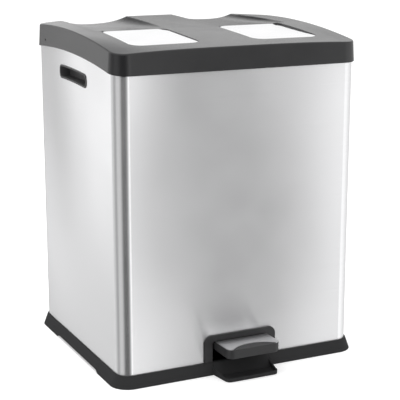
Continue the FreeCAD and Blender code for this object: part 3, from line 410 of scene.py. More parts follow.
def group(name, inputs, outputs):
    """A shader node group. An input is given with its value, or with None if it is a vector."""
    tree = bpy.data.node_groups.new(name, "ShaderNodeTree")
    for socket, value in inputs.items():
        kind = "NodeSocketVector" if value is None else "NodeSocketFloat"
        made = tree.interface.new_socket(socket, in_out="INPUT", socket_type=kind)
        if value is not None:
            made.default_value = value
    for socket, kind in outputs.items():
        tree.interface.new_socket(socket, in_out="OUTPUT", socket_type=kind)
    return tree, tree.nodes.new("NodeGroupInput"), tree.nodes.new("NodeGroupOutput")


def node(tree, kind, links=None, **settings):
    """A node with its settings, whose inputs are numbers or other nodes' outputs."""
    made = tree.nodes.new(kind)
    for name, value in settings.items():
        setattr(made, name, value)
    for key, value in (links or {}).items():
        if isinstance(value, bpy.types.NodeSocket):
            tree.links.new(value, made.inputs[key])
        else:
            made.inputs[key].default_value = value
    return made


def maths(tree, operation, first, second=0.0, third=0.0):
    """The output of a Math node."""
    made = node(tree, "ShaderNodeMath", {0: first, 1: second, 2: third}, operation=operation)
    return made.outputs[0]


def grey_mix(tree, factor, first, second):
    """A colour between two, each a colour or another node's output."""
    mix = node(tree, "ShaderNodeMix", {"Factor": factor}, data_type="RGBA")
    for socket, colour in (("A", first), ("B", second)):
        if isinstance(colour, bpy.types.NodeSocket):
            tree.links.new(colour, mix.inputs[socket])
        else:
            mix.inputs[socket].default_value = (*colour, 1)
    return mix.outputs["Result"]


def number_between(tree, factor, low, high):
    """A number that goes from low to high with a factor from 0 to 1."""
    made = node(tree, "ShaderNodeMapRange", {"Value": factor, "To Min": low, "To Max": high})
    return made.outputs[0]


def brush_lines():
    """Fine straight lines of a brushed sheet, and the slow waves of thin sheet metal.

    Stretch squeezes the pattern: small along the lines and large across them. Depth and Waves
    are heights in metres.
    """
    tree, given, out = group(
        "brush_lines", {"Vector": None, "Stretch": None, "Depth": 0.00002, "Waves": 0.0005},
        {"Shade": "NodeSocketFloat", "Cloud": "NodeSocketFloat", "Normal": "NodeSocketVector"},
    )
    place = node(tree, "ShaderNodeVectorMath", {
        0: given.outputs["Vector"], 1: given.outputs["Stretch"]}, operation="MULTIPLY")
    fine = node(tree, "ShaderNodeTexNoise", {
        "Vector": place.outputs[0], "Scale": 1.0, "Detail": 3.0, "Roughness": 0.7})
    wide_place = node(tree, "ShaderNodeVectorMath", {
        0: place.outputs[0], 1: (0.4, 0.4, 0.4)}, operation="MULTIPLY")
    wide = node(tree, "ShaderNodeTexNoise", {
        "Vector": wide_place.outputs[0], "Scale": 1.0, "Detail": 1.0, "Roughness": 0.5})
    shade = maths(tree, "MULTIPLY_ADD", wide.outputs[0], 0.35, fine.outputs[0])
    shade = maths(tree, "MULTIPLY_ADD", shade, 1.5, -0.5)
    slow = node(tree, "ShaderNodeTexNoise", {
        "Vector": given.outputs["Vector"], "Scale": 3.1, "Detail": 0.0})
    cloud = node(tree, "ShaderNodeTexNoise", {
        "Vector": given.outputs["Vector"], "Scale": 11.0, "Detail": 3.0})
    height = maths(tree, "MULTIPLY", shade, given.outputs["Depth"])
    height = maths(tree, "MULTIPLY_ADD", slow.outputs[0], given.outputs["Waves"], height)
    bump = node(tree, "ShaderNodeBump", {"Strength": 1.0, "Distance": 1.0, "Height": height})
    tree.links.new(shade, out.inputs["Shade"])
    tree.links.new(cloud.outputs[0], out.inputs["Cloud"])
    tree.links.new(bump.outputs[0], out.inputs["Normal"])
    return tree


def moulded_grain():
    """The fine spark-eroded grain of a moulded plastic skin, with slow changes in its sheen."""
    tree, given, out = group(
        "moulded_grain", {"Vector": None, "Scale": 900.0, "Depth": 0.00008, "Cloud": 14.0},
        {"Grain": "NodeSocketFloat", "Cloud": "NodeSocketFloat", "Normal": "NodeSocketVector"},
    )
    pebble = node(tree, "ShaderNodeTexVoronoi", {
        "Vector": given.outputs["Vector"], "Scale": given.outputs["Scale"], "Randomness": 1.0},
        feature="SMOOTH_F1")
    speck = node(tree, "ShaderNodeTexNoise", {
        "Vector": given.outputs["Vector"], "Scale": given.outputs["Scale"], "Detail": 2.0})
    height = maths(tree, "MULTIPLY_ADD", pebble.outputs["Distance"], 0.8, speck.outputs[0])
    cloud = node(tree, "ShaderNodeTexNoise", {
        "Vector": given.outputs["Vector"], "Scale": given.outputs["Cloud"], "Detail": 3.0})
    bump = node(tree, "ShaderNodeBump", {
        "Strength": 1.0, "Distance": given.outputs["Depth"], "Height": height})
    tree.links.new(height, out.inputs["Grain"])
    tree.links.new(cloud.outputs[0], out.inputs["Cloud"])
    tree.links.new(bump.outputs[0], out.inputs["Normal"])
    return tree


BRUSH_LINES = brush_lines()
MOULDED_GRAIN = moulded_grain()


def base_material(name, **sockets):
    """A material with values set on its shader, and the place on the piece that its nodes read."""
    material = bpy.data.materials.new(name)
    material.use_nodes = True
    tree = material.node_tree
    shader = tree.nodes["Principled BSDF"]
    for socket, value in sockets.items():
        shader.inputs[socket.replace("_", " ")].default_value = value
    where = tree.nodes.new("ShaderNodeTexCoord").outputs["Object"]
    return material, tree, shader, where


def finish_shader(tree, shader, where, pattern, values, shade, cloud, colours, rough):
    """Lays a pattern group on a shader: colour between two shades, roughness between two numbers."""
    laid = node(tree, "ShaderNodeGroup", {}, node_tree=pattern)
    tree.links.new(where, laid.inputs["Vector"])
    for socket, value in values.items():
        laid.inputs[socket].default_value = value
    colour = grey_mix(tree, laid.outputs[shade], *colours)
    tree.links.new(colour, shader.inputs["Base Color"])
    tree.links.new(number_between(tree, laid.outputs[cloud], *rough), shader.inputs["Roughness"])
    tree.links.new(laid.outputs["Normal"], shader.inputs["Normal"])


def plastic(name, dark, light, rough, gloss=0.5, grain=900.0, depth=0.00008):
    """A moulded plastic with a fine grain."""
    material, tree, shader, where = base_material(name, Specular_IOR_Level=gloss)
    finish_shader(
        tree, shader, where, MOULDED_GRAIN, {"Scale": grain, "Depth": depth}, "Cloud", "Cloud",
        (dark, light), (rough - 0.05, rough + 0.05),
    )
    return material


def brushed(name, dark, light, rough, stretch, spread=0.0, depth=0.00002, waves=0.0):
    """A brushed sheet: its lines run level, and its reflections are drawn out across them by spread."""
    material, tree, shader, where = base_material(name, Metallic=1.0)
    finish_shader(
        tree, shader, where, BRUSH_LINES, {"Stretch": stretch, "Depth": depth, "Waves": waves},
        "Shade", "Cloud", (dark, light), (rough - 0.03, rough + 0.03),
    )
    if spread:
        shader.inputs["Anisotropic"].default_value = spread
        shader.inputs["Anisotropic Rotation"].default_value = 0.25
        round_z = node(tree, "ShaderNodeTangent", direction_type="RADIAL", axis="Z")
        tree.links.new(round_z.outputs[0], shader.inputs["Tangent"])
    return material


def plain_steel(name, dark, light, rough):
    """A pressed or turned steel with a faint mottle."""
    material, tree, shader, where = base_material(name, Metallic=1.0)
    finish_shader(
        tree, shader, where, MOULDED_GRAIN, {"Scale": 500.0, "Depth": 0.00001, "Cloud": 60.0},
        "Cloud", "Grain", (dark, light), (rough - 0.05, rough + 0.08),
    )
    return material


FINISH = {
    "black_plastic": plastic(
        "black_plastic", (0.015, 0.015, 0.016), (0.022, 0.022, 0.023), 0.20, depth=0.00003),
    "inner_plastic": plastic(
        "inner_plastic", (0.055, 0.055, 0.058), (0.075, 0.075, 0.078), 0.5, grain=700.0),
    "bucket_plastic": plastic(
        "bucket_plastic", (0.16, 0.165, 0.17), (0.20, 0.205, 0.21), 0.45, grain=600.0, depth=0.00012),
    "grip_plastic": plastic("grip_plastic", (0.018, 0.018, 0.018), (0.03, 0.03, 0.03), 0.55, grain=1200.0),
    "foot_rubber": plastic(
        "foot_rubber", (0.02, 0.02, 0.02), (0.035, 0.034, 0.033), 0.8, 0.3, grain=500.0, depth=0.0002),
    "brushed_wrap": brushed(
        "brushed_wrap", (0.84, 0.84, 0.85), (0.90, 0.90, 0.91), 0.25, (7.0, 7.0, 1700.0), spread=1.0,
        depth=0.000004, waves=0.004),
    "brushed_plate": brushed(
        "brushed_plate", (0.92, 0.92, 0.93), (0.97, 0.97, 0.98), 0.13, (7.0, 1500.0, 7.0), depth=0.000002),
    "tread_steel": brushed(
        "tread_steel", (0.56, 0.56, 0.57), (0.68, 0.68, 0.69), 0.38, (9.0, 1200.0, 9.0), depth=0.000006),
    "zinc_steel": plain_steel("zinc_steel", (0.50, 0.51, 0.53), (0.62, 0.63, 0.65), 0.42),
    "bright_pins": plain_steel("bright_pins", (0.60, 0.60, 0.61), (0.72, 0.72, 0.73), 0.22),
    "screw_steel": plain_steel("screw_steel", (0.42, 0.42, 0.43), (0.58, 0.58, 0.59), 0.34),
}

# Black plastics that are duller than the lid's
BASE_PLASTIC = plastic("base_plastic", (0.025, 0.025, 0.026), (0.032, 0.032, 0.033), 0.78, gloss=0.2)
CUP_PLASTIC = plastic("cup_plastic", (0.06, 0.06, 0.061), (0.085, 0.085, 0.086), 0.5, gloss=0.4)
FRAME_PLASTIC = plastic("frame_plastic", (0.024, 0.024, 0.025), (0.032, 0.032, 0.033), 0.5, gloss=0.4)


# ---------------------------------------------------------------- body and base

def grip_shape(inset, x0, x1):
    """The grip's outline through the left wall, drawn in by inset and bent to the lid's arch."""
    half = GRIP_HALF - inset
    bm = block(x0, x1, GRIP_FRONT + inset, GRIP_REAR - inset, -half, half)
    round_edges(bm, edges_along(bm, 0), radius=GRIP_RADIUS - inset, segments=6)
    cut_across(bm, 1, range(-54, 66, 8))
    for vert in bm.verts:
        vert.co.z += ARCH_TOP - GRIP_DROP - (vert.co.y - ARCH_Y) ** 2 / (2 * ARCH_RADIUS)
    return bm


def steel_wrap():
    """The brushed sheet round the body, with its pedal opening, grip holes and lap seam."""
    bm = body_block(0, SHEET_LOW, BODY_TOP, segments=18)
    ends = [level_face(bm, 1, BODY_TOP), level_face(bm, -1, SHEET_LOW)]
    bmesh.ops.delete(bm, geom=ends, context="FACES_ONLY")
    bm = modified(bm, "SOLIDIFY", thickness=SHEET, offset=-1.0, use_even_offset=True)
    opening = block(-OPENING_X, OPENING_X, FRONT_Y - 5, FRONT_Y + 5, 0, OPENING_TOP)
    grip_hole = grip_shape(GRIP_RIM, -SIDE_X - 5, -SIDE_X + 5)
    bm = carved(bm, opening, grip_hole, mirrored(grip_hole))
    seam = block(-SEAM_HALF, SEAM_HALF, REAR_Y - SHEET / 2, REAR_Y + SHEET, SEAM_LOW, SEAM_TOP)
    round_edges(seam, edges_along(seam, 2), radius=0.35, segments=2)
    mesh_piece("steel_wrap", joined(bm, seam), "body", ["body_shell"], "brushed_wrap", angle=30)


def base_rim():
    """The flared plinth with its groove and upstand, raised between the feet at both sides."""
    bm = body_block(PLINTH_PROUD, PLINTH_LOW, PLINTH_TOP)
    groove = terrace(bm, level_face(bm, 1, PLINTH_TOP), PLINTH_PROUD, SHEET_LOW)
    upstand = terrace(bm, groove, SHEET, UPSTAND_TOP)
    terrace(bm, upstand, UPSTAND, PAN_TOP)
    terrace(bm, level_face(bm, -1, PLINTH_LOW), FOOT_RIM, RAISED_LOW)
    for vert in bm.verts:
        if vert.co.z < 1 and outside_by(vert.co) > PLINTH_PROUD - 0.1:
            push_out(vert, PLINTH_FLARE)
    cut_across(bm, 1, (
        RAISED_FRONT - RAISED_RAMP, RAISED_FRONT, RAISED_REAR, RAISED_REAR + RAISED_RAMP))
    for vert in bm.verts:
        between_feet = RAISED_FRONT - 1 < vert.co.y < RAISED_REAR + 1
        if vert.co.z < 1 and between_feet and abs(vert.co.x) > SIDE_X - 12:
            vert.co.z = RAISED_LOW
    notch_end = OPENING_X + 0.4
    cut_across(bm, 0, (-notch_end, -OPENING_X, OPENING_X, notch_end))
    for vert in bm.verts:
        in_notch = abs(vert.co.x) < notch_end - 0.2 and vert.co.y < FRONT_Y + 20
        if vert.co.z > UPSTAND_TOP - 1 and in_notch:
            vert.co.z = PLINTH_TOP
    mesh_piece("base_rim", bm, "body", ["plinth"], "black_plastic", BASE_PLASTIC, edge=1.2)


def toe_dish():
    """The dish under the pedal: thin walls that fall from high cheeks to a low lip."""
    front = FRONT_Y - DISH_REACH
    bm = block(-DISH_X, DISH_X, front, FRONT_Y, PLINTH_LOW, DISH_HIGH)
    for vert in bm.verts:
        if vert.co.y < front + 1:
            vert.co.x *= DISH_TIP_X / DISH_X
    round_edges(bm, front_corners(bm, front + 1), radius=10, segments=8)
    terrace(bm, level_face(bm, 1, DISH_HIGH), DISH_WALL, DISH_FLOOR)
    cut_across(bm, 1, [FRONT_Y - DISH_FALL + 5 * i for i in range(9)])
    for vert in bm.verts:
        if vert.co.z > DISH_FLOOR + 0.5:
            fall = min(1.0, max(0.0, (FRONT_Y - vert.co.y) / DISH_FALL))
            vert.co.z = DISH_LIP + (DISH_HIGH - DISH_LIP) * (1 - fall) ** 1.25
    inner = DISH_X - DISH_WALL
    back = block(-inner, inner, FRONT_Y - 1, FRONT_Y, 2, PLINTH_TOP - 0.4)
    for vert in back.verts:
        if vert.co.y < FRONT_Y - 0.5:
            vert.co.y -= 3.2 if vert.co.z > 20 else 24
    mesh_piece("toe_dish", joined(bm, back), "body", ["toe_tray"], "black_plastic", BASE_PLASTIC, edge=0.9)


def pedal_frame():
    """The frame round the pedal's opening, with the sleeve that lines the sheet's edge."""
    face = block(-FRAME_X, FRAME_X, FRONT_Y - FRAME_PROUD, FRONT_Y, PLINTH_TOP, FRAME_TOP)
    round_edges(face, upper_edges_along_y(face, FRAME_TOP - 8), radius=15, segments=10)
    sleeve = block(-OPENING_X, OPENING_X, FRONT_Y, FRONT_Y + SLEEVE_DEPTH, PLINTH_TOP, OPENING_TOP)
    round_edges(sleeve, upper_edges_along_y(sleeve, OPENING_TOP - 7), radius=7, segments=6)
    clear_x = OPENING_X - SLEEVE
    clear_top = OPENING_TOP - SLEEVE
    hole = block(-clear_x, clear_x, FRONT_Y - 9, FRONT_Y + 30, 0, clear_top)
    round_edges(hole, upper_edges_along_y(hole, clear_top - 5), radius=5, segments=6)
    mesh_piece("pedal_frame", carved(united(face, sleeve), hole), "body", ["pedal_surround"],
               "black_plastic", FRAME_PLASTIC, edge=1.3)


def left_grip():
    """The left hand grip: a thin rim on the sheet and a deep cup behind it."""
    rim = grip_shape(0, -SIDE_X - GRIP_RIM, -SIDE_X)
    cup = grip_shape(GRIP_RIM, -SIDE_X, -SIDE_X + GRIP_DEPTH)
    hollow_cup = grip_shape(GRIP_RIM + GRIP_WALL, -SIDE_X - 5, -SIDE_X + GRIP_DEPTH - GRIP_WALL)
    return carved(united(rim, cup), hollow_cup)


def hand_grips():
    """Both hand grips."""
    for side, shape in (("left", left_grip()), ("right", mirrored(left_grip()))):
        mesh_piece("hand_grip_" + side, shape, "body", ["grip_cup_" + side], "black_plastic",
                   CUP_PLASTIC, edge=0.8)


def mouth_collar():
    """The ring on the sheet's top edge that frames the way to the buckets, with a slot for the rod."""
    hem = body_block(0, BODY_TOP, BODY_TOP + COLLAR_WALL)
    flange = body_block(-SHEET, BODY_TOP - 0.5, BODY_TOP + 1)
    throat = rounded_block(
        -MOUTH_X - COLLAR_WALL, MOUTH_X + COLLAR_WALL, MOUTH_FRONT - COLLAR_WALL, MOUTH_REAR + COLLAR_WALL,
        BODY_TOP - 20, BODY_TOP + 2, MOUTH_RADIUS + COLLAR_WALL)
    mouth = rounded_block(
        -MOUTH_X, MOUTH_X, MOUTH_FRONT, MOUTH_REAR, BODY_TOP - 40, BODY_TOP + 20, MOUTH_RADIUS)
    rod_slot = block(
        -ROD_SLOT_X, ROD_SLOT_X, MOUTH_REAR - COLLAR_WALL, REAR_Y - SHEET, BODY_TOP - 40, BODY_TOP + 20)
    ring = carved(united(united(hem, flange), throat), mouth, rod_slot)
    mesh_piece("mouth_collar", ring, "body", ["top_collar"], "inner_plastic", edge=0.7)


# ---------------------------------------------------------------- pedal

def pedal_pad(inset, rear, low, high):
    """A pad over the pedal's plan, between two heights counted from its sloping top."""
    front = FRONT_Y - PEDAL_REACH + inset
    bm = block(-PEDAL_X + inset, PEDAL_X - inset, front, rear, 0, 1)
    round_edges(bm, front_corners(bm, front + 1), radius=PEDAL_RADIUS - inset, segments=10)
    for vert in bm.verts:
        top = PEDAL_Z - PEDAL_SLOPE * (vert.co.y - FRONT_Y)
        vert.co.z = top + (high if vert.co.z > 0.5 else low)
    return bm


def foot_pedal():
    """The pedal: a hollow plastic body with a thin steel tread, scooped at its front."""
    shell = pedal_pad(0, FRONT_Y + 13, -16, 0)
    for vert in shell.verts:
        if vert.co.z < 60:
            vert.co.z = PEDAL_LOW
    inside = pedal_pad(PEDAL_WALL, FRONT_Y + 30, -40, -3.3)
    mesh_piece("pedal_shell", carved(shell, inside), "pedal", ["pedal_body"], "black_plastic",
               FRAME_PLASTIC, edge=1.6, edge_segments=4)
    tread = pedal_pad(0.8, FRONT_Y - 6, -1.6, TREAD)
    scoop_y = FRONT_Y - PEDAL_REACH + SCOOP_DEPTH - SCOOP_RADIUS
    scoop = bar(SCOOP_RADIUS, (0, scoop_y, 40), (0, scoop_y, 90), segments=160)
    mesh_piece("pedal_plate", carved(tread, scoop), "pedal", ["pedal_tread"], "tread_steel", edge=1.3)


# ---------------------------------------------------------------- lid

def arc_z(y, arc):
    """Height of a flat arc along Y."""
    place, crest, radius = arc
    return crest - (y - place) ** 2 / (2 * radius)


def slope_share(distance, width):
    """How far down a well's wall goes: steep at its crest, level at its foot, a width away."""
    share = max(0.0, min(1.0, distance / width))
    return 1 - (1 - share) ** 3


def lid_top(x, y):
    """Height of the lid's top: arched along Y, crowned along X, with a well behind each plate."""
    ridge = arc_z(y, RIDGE_ARC)
    top = ridge + (arc_z(y, SIDE_ARC) - ridge) * (min(abs(x), SIDE_X) / SIDE_X) ** 3
    if y < PLATE_REAR - WELL_LEAD:
        return top
    back = max(0.0, (y - PLATE_REAR) / (REAR_Y - PLATE_REAR))
    widen = WALLS_WIDEN * back
    from_ridge = slope_share(abs(x) - RIDGE_EDGE, RIDGE_WALL + widen)
    from_rim = slope_share(RIM_EDGE - RIM_COMES_IN * back - abs(x), RIM_WALL + widen)
    well_floor = max(height - fall * back for height, fall in WELL_FLOORS)
    return top - max(0.0, top - well_floor) * from_ridge * from_rim


def plate_plane(y):
    """Height of the plates, flat along Y, a little under the ridge."""
    front = arc_z(PLATE_FRONT, RIDGE_ARC) - PLATE_BELOW_RIDGE
    rear = arc_z(PLATE_REAR, RIDGE_ARC) - PLATE_BELOW_RIDGE
    return front + (rear - front) * (y - PLATE_FRONT) / (PLATE_REAR - PLATE_FRONT)


def plate_shape(gap, high):
    """A slab over the left plate's outline, from the plate's underside to a height over its top."""
    bm = rounded_block(
        -PLATE_OUTER_X - gap, -PLATE_INNER_X + gap, PLATE_FRONT - gap, PLATE_REAR + gap, 0, 1,
        PLATE_RADIUS + gap)
    for vert in bm.verts:
        vert.co.z = plate_plane(vert.co.y) + (high if vert.co.z > 0.5 else -PLATE_THICK)
    return bm


def skirt_z(y):
    """Height of the skirt's arched lower edge."""
    return ARCH_TOP - ARCH_RADIUS + math.sqrt(ARCH_RADIUS ** 2 - (y - ARCH_Y) ** 2)


def lid_cover():
    """The one-piece lid: a block bent to its top and skirt, cut out, hollowed, with two hinge lugs."""
    crest = 660.0
    bm = body_block(0, LID_LOW, crest, segments=10)
    rim = [e for e in bm.edges if min(v.co.z for v in e.verts) > crest - 1]
    round_edges(bm, rim, radius=2.5, segments=3)
    bm.normal_update()
    for face in bm.faces:
        face.material_index = 1 if face.normal.z < -0.9 else 0
    cut_across(bm, 0, range(-220, 221, 4))
    cut_across(bm, 1, range(-186, 189, 6))
    for vert in bm.verts:
        x, y = vert.co.x, vert.co.y
        z = lid_top(x, y) + vert.co.z - crest if vert.co.z > crest - 10 else skirt_z(y)
        if outside_by(vert.co) > -5:
            push_out(vert, LID_OVERHANG - LID_DRAFT * (z - LID_LOW))
        vert.co.z = z
    pocket = plate_shape(PLATE_GAP, 20)
    dimple_foot = (-SIDE_X - DIMPLE_DEPTH, DIMPLE_Y, DIMPLE_Z)
    dimple = bar(DIMPLE_RADIUS, (-SIDE_X - 10, DIMPLE_Y, DIMPLE_Z), dimple_foot, segments=20)
    cutters = [pocket, mirrored(pocket), dimple, mirrored(dimple)]
    for x in (-HINGE_X, HINGE_X):
        left, right = x - HINGE_NOTCH_HALF, x + HINGE_NOTCH_HALF
        cutters.append(block(left, right, REAR_Y, REAR_Y + 10, LID_LOW - 10, HINGE_NOTCH_TOP))
    bm = carved(bm, *cutters)
    bottoms = [f for f in bm.faces if f.material_index == 1]
    bmesh.ops.delete(bm, geom=bottoms, context="FACES")
    bm = modified(bm, "SOLIDIFY", thickness=LID_WALL, offset=-1.0, use_even_offset=False)
    for face in bm.faces:
        face.material_index = 0
    lugs = []
    for x in (-HINGE_X, HINGE_X):
        left, right = x - LUG_HALF, x + LUG_HALF
        lugs.append(bar(LUG_RADIUS, (left, HINGE_Y, HINGE_Z), (right, HINGE_Y, HINGE_Z)))
        lugs.append(block(left, right, REAR_Y + 2.2, HINGE_Y, HINGE_Z, LUG_TOP))
    mesh_piece("lid_cover", joined(bm, *lugs), "lid", ["lid_shell"], "black_plastic",
               edge=0.45, edge_segments=2, angle=50)


def lid_plates():
    """The two bright plates let into the lid."""
    for side in ("left", "right"):
        sheet = plate_shape(0, 0)
        shape = sheet if side == "left" else mirrored(sheet)
        mesh_piece("bright_plate_" + side, shape, "lid", ["lid_plate_" + side], "brushed_plate", edge=0.4)


def lid_inside():
    """The flat panel that closes the lid from below, with a raised border, on its posts."""
    bm = body_block(-PANEL_INSET, PANEL_LOW, PANEL_TOP)
    terrace(bm, level_face(bm, -1, PANEL_LOW), PANEL_BORDER, PANEL_LOW + PANEL_RECESS)
    posts = []
    for x, y in POSTS:
        posts.append(bar(POST_RADIUS, (x, y, PANEL_TOP - 0.5), (x, y, lid_top(x, y) - 4)))
    mesh_piece("lid_inside", joined(bm, *posts), "lid", ["lid_liner"], "inner_plastic", edge=0.6)


# ---------------------------------------------------------------- inner buckets

def bucket_block(inset, z0, z1, taper=0.0):
    """A block over the left bucket's outline, drawn in by inset and narrowed at its foot by taper."""
    bm = rounded_block(
        -BUCKET_X - BUCKET_HALF_X + inset, -BUCKET_X + BUCKET_HALF_X - inset,
        BUCKET_Y - BUCKET_HALF_Y + inset, BUCKET_Y + BUCKET_HALF_Y - inset, z0, z1, BUCKET_RADIUS - inset,
    )
    for vert in bm.verts:
        if vert.co.z < (z0 + z1) / 2:
            vert.co.x -= math.copysign(taper, vert.co.x + BUCKET_X)
            vert.co.y -= math.copysign(taper, vert.co.y - BUCKET_Y)
    return bm


def left_tub():
    """The left bucket: a tapered tub, a turned-down rim and two ears."""
    tub = carved(
        bucket_block(0, BUCKET_LOW, BUCKET_TOP - 0.5, BUCKET_TAPER),
        bucket_block(BUCKET_WALL, BUCKET_LOW + 2.6, BUCKET_TOP + 0.5, BUCKET_TAPER),
    )
    ears = []
    for side in (-1, 1):
        wall_y = BUCKET_Y + side * (BUCKET_HALF_Y - 1)
        end_y = BUCKET_Y + side * (BUCKET_HALF_Y + BUCKET_RIM)
        ears.append(bar(EAR_RADIUS, (-BUCKET_X, wall_y, EAR_Z), (-BUCKET_X, end_y, EAR_Z)))
    under_rim = carved(
        bucket_block(-1.5, BUCKET_TOP - 30, BUCKET_TOP - 2),
        bucket_block(0, BUCKET_TOP - 40, BUCKET_TOP + 10),
    )
    rim = carved(
        bucket_block(-BUCKET_RIM, BUCKET_TOP - BUCKET_RIM_DROP, BUCKET_TOP),
        bucket_block(BUCKET_WALL, BUCKET_TOP - 30, BUCKET_TOP + 10),
        under_rim,
    )
    return joined(tub, rim, *ears)


def tubs():
    """Both inner buckets."""
    for side in ("left", "right"):
        shape = left_tub() if side == "left" else mirrored(left_tub())
        mesh_piece("tub_" + side, shape, "bucket_" + side, ["inner_bucket_" + side], "bucket_plastic",
                   edge=0.7)


# ---------------------------------------------------------------- all pieces, and the CAD nodes that stay

steel_wrap()
base_rim()
toe_dish()
pedal_frame()
hand_grips()
mouth_collar()
foot_pedal()
lid_cover()
lid_plates()
lid_inside()
tubs()

for part in frame["record"]["subparts"]:
    kept = frame["nodes"][part["node"]]
    for place in range(len(kept.data.materials)):
        kept.data.materials[place] = FINISH[part["material_slot"]]


# ---------------------------------------------------------------- studio and camera

def floor():
    """A pale floor that the camera sees as white, with the object's soft shadow on it."""
    bm = bmesh.new()
    bmesh.ops.create_grid(bm, x_segments=4, y_segments=4, size=30)
    mesh = bpy.data.meshes.new("floor")
    bm.to_mesh(mesh)
    bm.free()
    obj = bpy.data.objects.new("floor", mesh)
    bpy.context.scene.collection.objects.link(obj)
    material, tree, shader, _ = base_material("pale_floor", Roughness=1.0, Specular_IOR_Level=0.0)
    shader.inputs["Base Color"].default_value = (0.86, 0.86, 0.86, 1)
    path = node(tree, "ShaderNodeLightPath")
    seen = maths(tree, "MULTIPLY", path.outputs["Is Camera Ray"], 0.36)
    tree.links.new(seen, shader.inputs["Emission Strength"])
    shader.inputs["Emission Color"].default_value = (1, 1, 1, 1)
    mesh.materials.append(material)
    obj.visible_glossy = False


# Brightness of the studio's walls round the object, by degrees from its front towards its right:
# what a look down the steel meets, what a level look meets, and what a look upwards meets
LOW_WALLS = (
    (-180, 0.85), (-165, 0.25), (-161.4, 0.20), (-159.6, 0.35), (-158.4, 0.85), (-156.5, 1.3),
    (-148, 0.7), (-134, 0.7), (-108, 0.40), (-98, 0.40), (-86, 0.66), (-64, 0.62), (-52, 0.36),
    (-42, 0.10), (-16, 0.08), (-6, 0.22), (4, 0.50), (13, 1.3), (22.0, 1.3), (24.0, 0.50),
    (26.0, 0.10), (28.8, 0.10), (30.8, 0.55), (32.6, 1.1), (38, 1.2), (60, 1.15), (84, 0.95),
    (110, 0.8), (138, 0.8), (165, 0.8),
)
WALLS = (
    (-180, 0.85), (-165, 0.30), (-161.8, 0.34), (-160.0, 1.3), (-157, 1.45), (-153, 0.9),
    (-148, 0.7), (-134, 0.7), (-108, 0.40), (-98, 0.40), (-86, 0.66), (-64, 0.62), (-52, 0.36),
    (-42, 0.10), (-16, 0.08), (-6, 0.22), (4, 0.50), (13, 1.2), (22.4, 1.2), (24.4, 0.54),
    (26.4, 0.20), (28.4, 0.20), (30.4, 0.60), (32.4, 1.1), (38, 1.2), (60, 1.15), (84, 0.95),
    (110, 0.8), (138, 0.7), (150, 0.55), (156.5, 0.5), (160, 0.9),
)
UPPER_WALLS = (
    (-180, 0.6), (-172, 1.0), (-150, 1.0), (-120, 0.5), (-60, 0.7), (0, 0.8), (60, 0.9), (142, 0.9),
    (157, 0.8), (158.6, 0.55), (161, 0.08), (174, 0.08),
)
WHITE = (1, 1, 1)
BRIGHT = (1.15, 1.15, 1.15)

# Where one of them gives way to the next, as sines of the look's angle over the horizon
TO_LEVEL_WALLS = (-0.34, -0.22)
TO_BRIGHT_BAND = (0.165, 0.195)
TO_UPPER_WALLS = (0.23, 0.28)
TO_CEILING = (0.65, 0.85)


def ring_of_greys(tree, turn, stops):
    """Greys round the horizon, given as degrees and levels."""
    ramp = node(tree, "ShaderNodeValToRGB", {0: turn})
    ramp.color_ramp.interpolation = "EASE"
    points = ramp.color_ramp.elements
    points.remove(points[1])
    for i, (degrees, level) in enumerate(stops):
        point = points[0] if i == 0 else points.new(0.5 + degrees / 360)
        point.position = 0.5 + degrees / 360
        point.color = (level, level, level, 1)
    return ramp.outputs[0]


def blend_by_height(tree, height, heights, low, high):
    """One grey below a pair of heights and another above it, blended between them."""
    start, end = heights
    share = node(tree, "ShaderNodeMapRange", {
        "Value": height, "From Min": start, "From Max": end}, interpolation_type="SMOOTHSTEP")
    return grey_mix(tree, share.outputs[0], low, high)


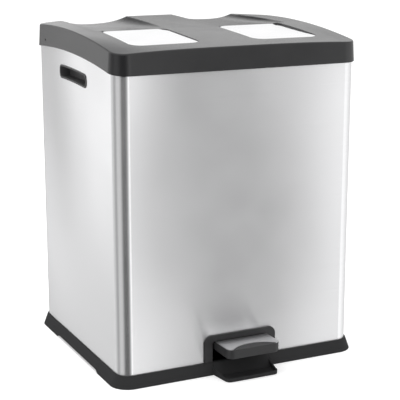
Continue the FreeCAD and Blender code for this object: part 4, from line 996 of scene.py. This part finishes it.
def studio_sky():
    """White behind the object, which itself stands between grey and white walls under a white ceiling."""
    world = bpy.data.worlds.new("studio")
    bpy.context.scene.world = world
    world.use_nodes = True
    tree = world.node_tree
    way = node(tree, "ShaderNodeTexCoord").outputs["Generated"]
    parts = node(tree, "ShaderNodeSeparateXYZ", {0: way})
    behind = maths(tree, "MULTIPLY", parts.outputs[1], -1.0)
    turn = maths(tree, "ARCTAN2", parts.outputs[0], behind)
    turn = maths(tree, "MULTIPLY_ADD", turn, 0.5 / math.pi, 0.5)
    height = parts.outputs[2]
    low_walls = ring_of_greys(tree, turn, LOW_WALLS)
    walls = ring_of_greys(tree, turn, WALLS)
    upper_walls = ring_of_greys(tree, turn, UPPER_WALLS)
    room = blend_by_height(tree, height, TO_LEVEL_WALLS, low_walls, walls)
    room = blend_by_height(tree, height, TO_BRIGHT_BAND, room, BRIGHT)
    room = blend_by_height(tree, height, TO_UPPER_WALLS, room, upper_walls)
    room = blend_by_height(tree, height, TO_CEILING, room, WHITE)
    path = node(tree, "ShaderNodeLightPath")
    seen = maths(tree, "MAXIMUM", path.outputs["Is Camera Ray"], path.outputs["Is Transmission Ray"])
    tree.links.new(grey_mix(tree, seen, room, WHITE), tree.nodes["Background"].inputs["Color"])


def softbox(name, place, target, size, watts):
    """A rectangular lamp that looks at a target and isn't itself reflected."""
    light = bpy.data.lights.new(name, "AREA")
    light.shape = "RECTANGLE"
    light.size, light.size_y = size
    light.energy = watts
    obj = bpy.data.objects.new(name, light)
    bpy.context.scene.collection.objects.link(obj)
    obj.location = place
    obj.rotation_euler = (Vector(target) - Vector(place)).to_track_quat("-Z", "Y").to_euler()
    obj.visible_glossy = False


def camera():
    """The camera, fitted without a shift to the edges of the body in the photograph."""
    sensor = 36.0
    focal_pixels = 1214.17
    picture_pixels = 400
    lens = bpy.data.cameras.new("camera")
    lens.sensor_width = sensor
    lens.lens = focal_pixels / picture_pixels * sensor
    obj = bpy.data.objects.new("camera", lens)
    bpy.context.scene.collection.objects.link(obj)
    obj.location = (-1.0350, -2.16745, 0.8802)
    obj.rotation_euler = (math.pi / 2 - 0.237981, 0, -0.447537)
    bpy.context.scene.camera = obj


floor()
studio_sky()
softbox("overhead", place=(-0.3, 0.1, 2.6), target=(0, 0, 0.3), size=(2.4, 2.0), watts=38)
softbox("left", place=(-2.4, -0.4, 1.3), target=(0, 0, 0.35), size=(1.6, 1.8), watts=8)
camera()
bpy.context.scene.view_settings.view_transform = "Standard"
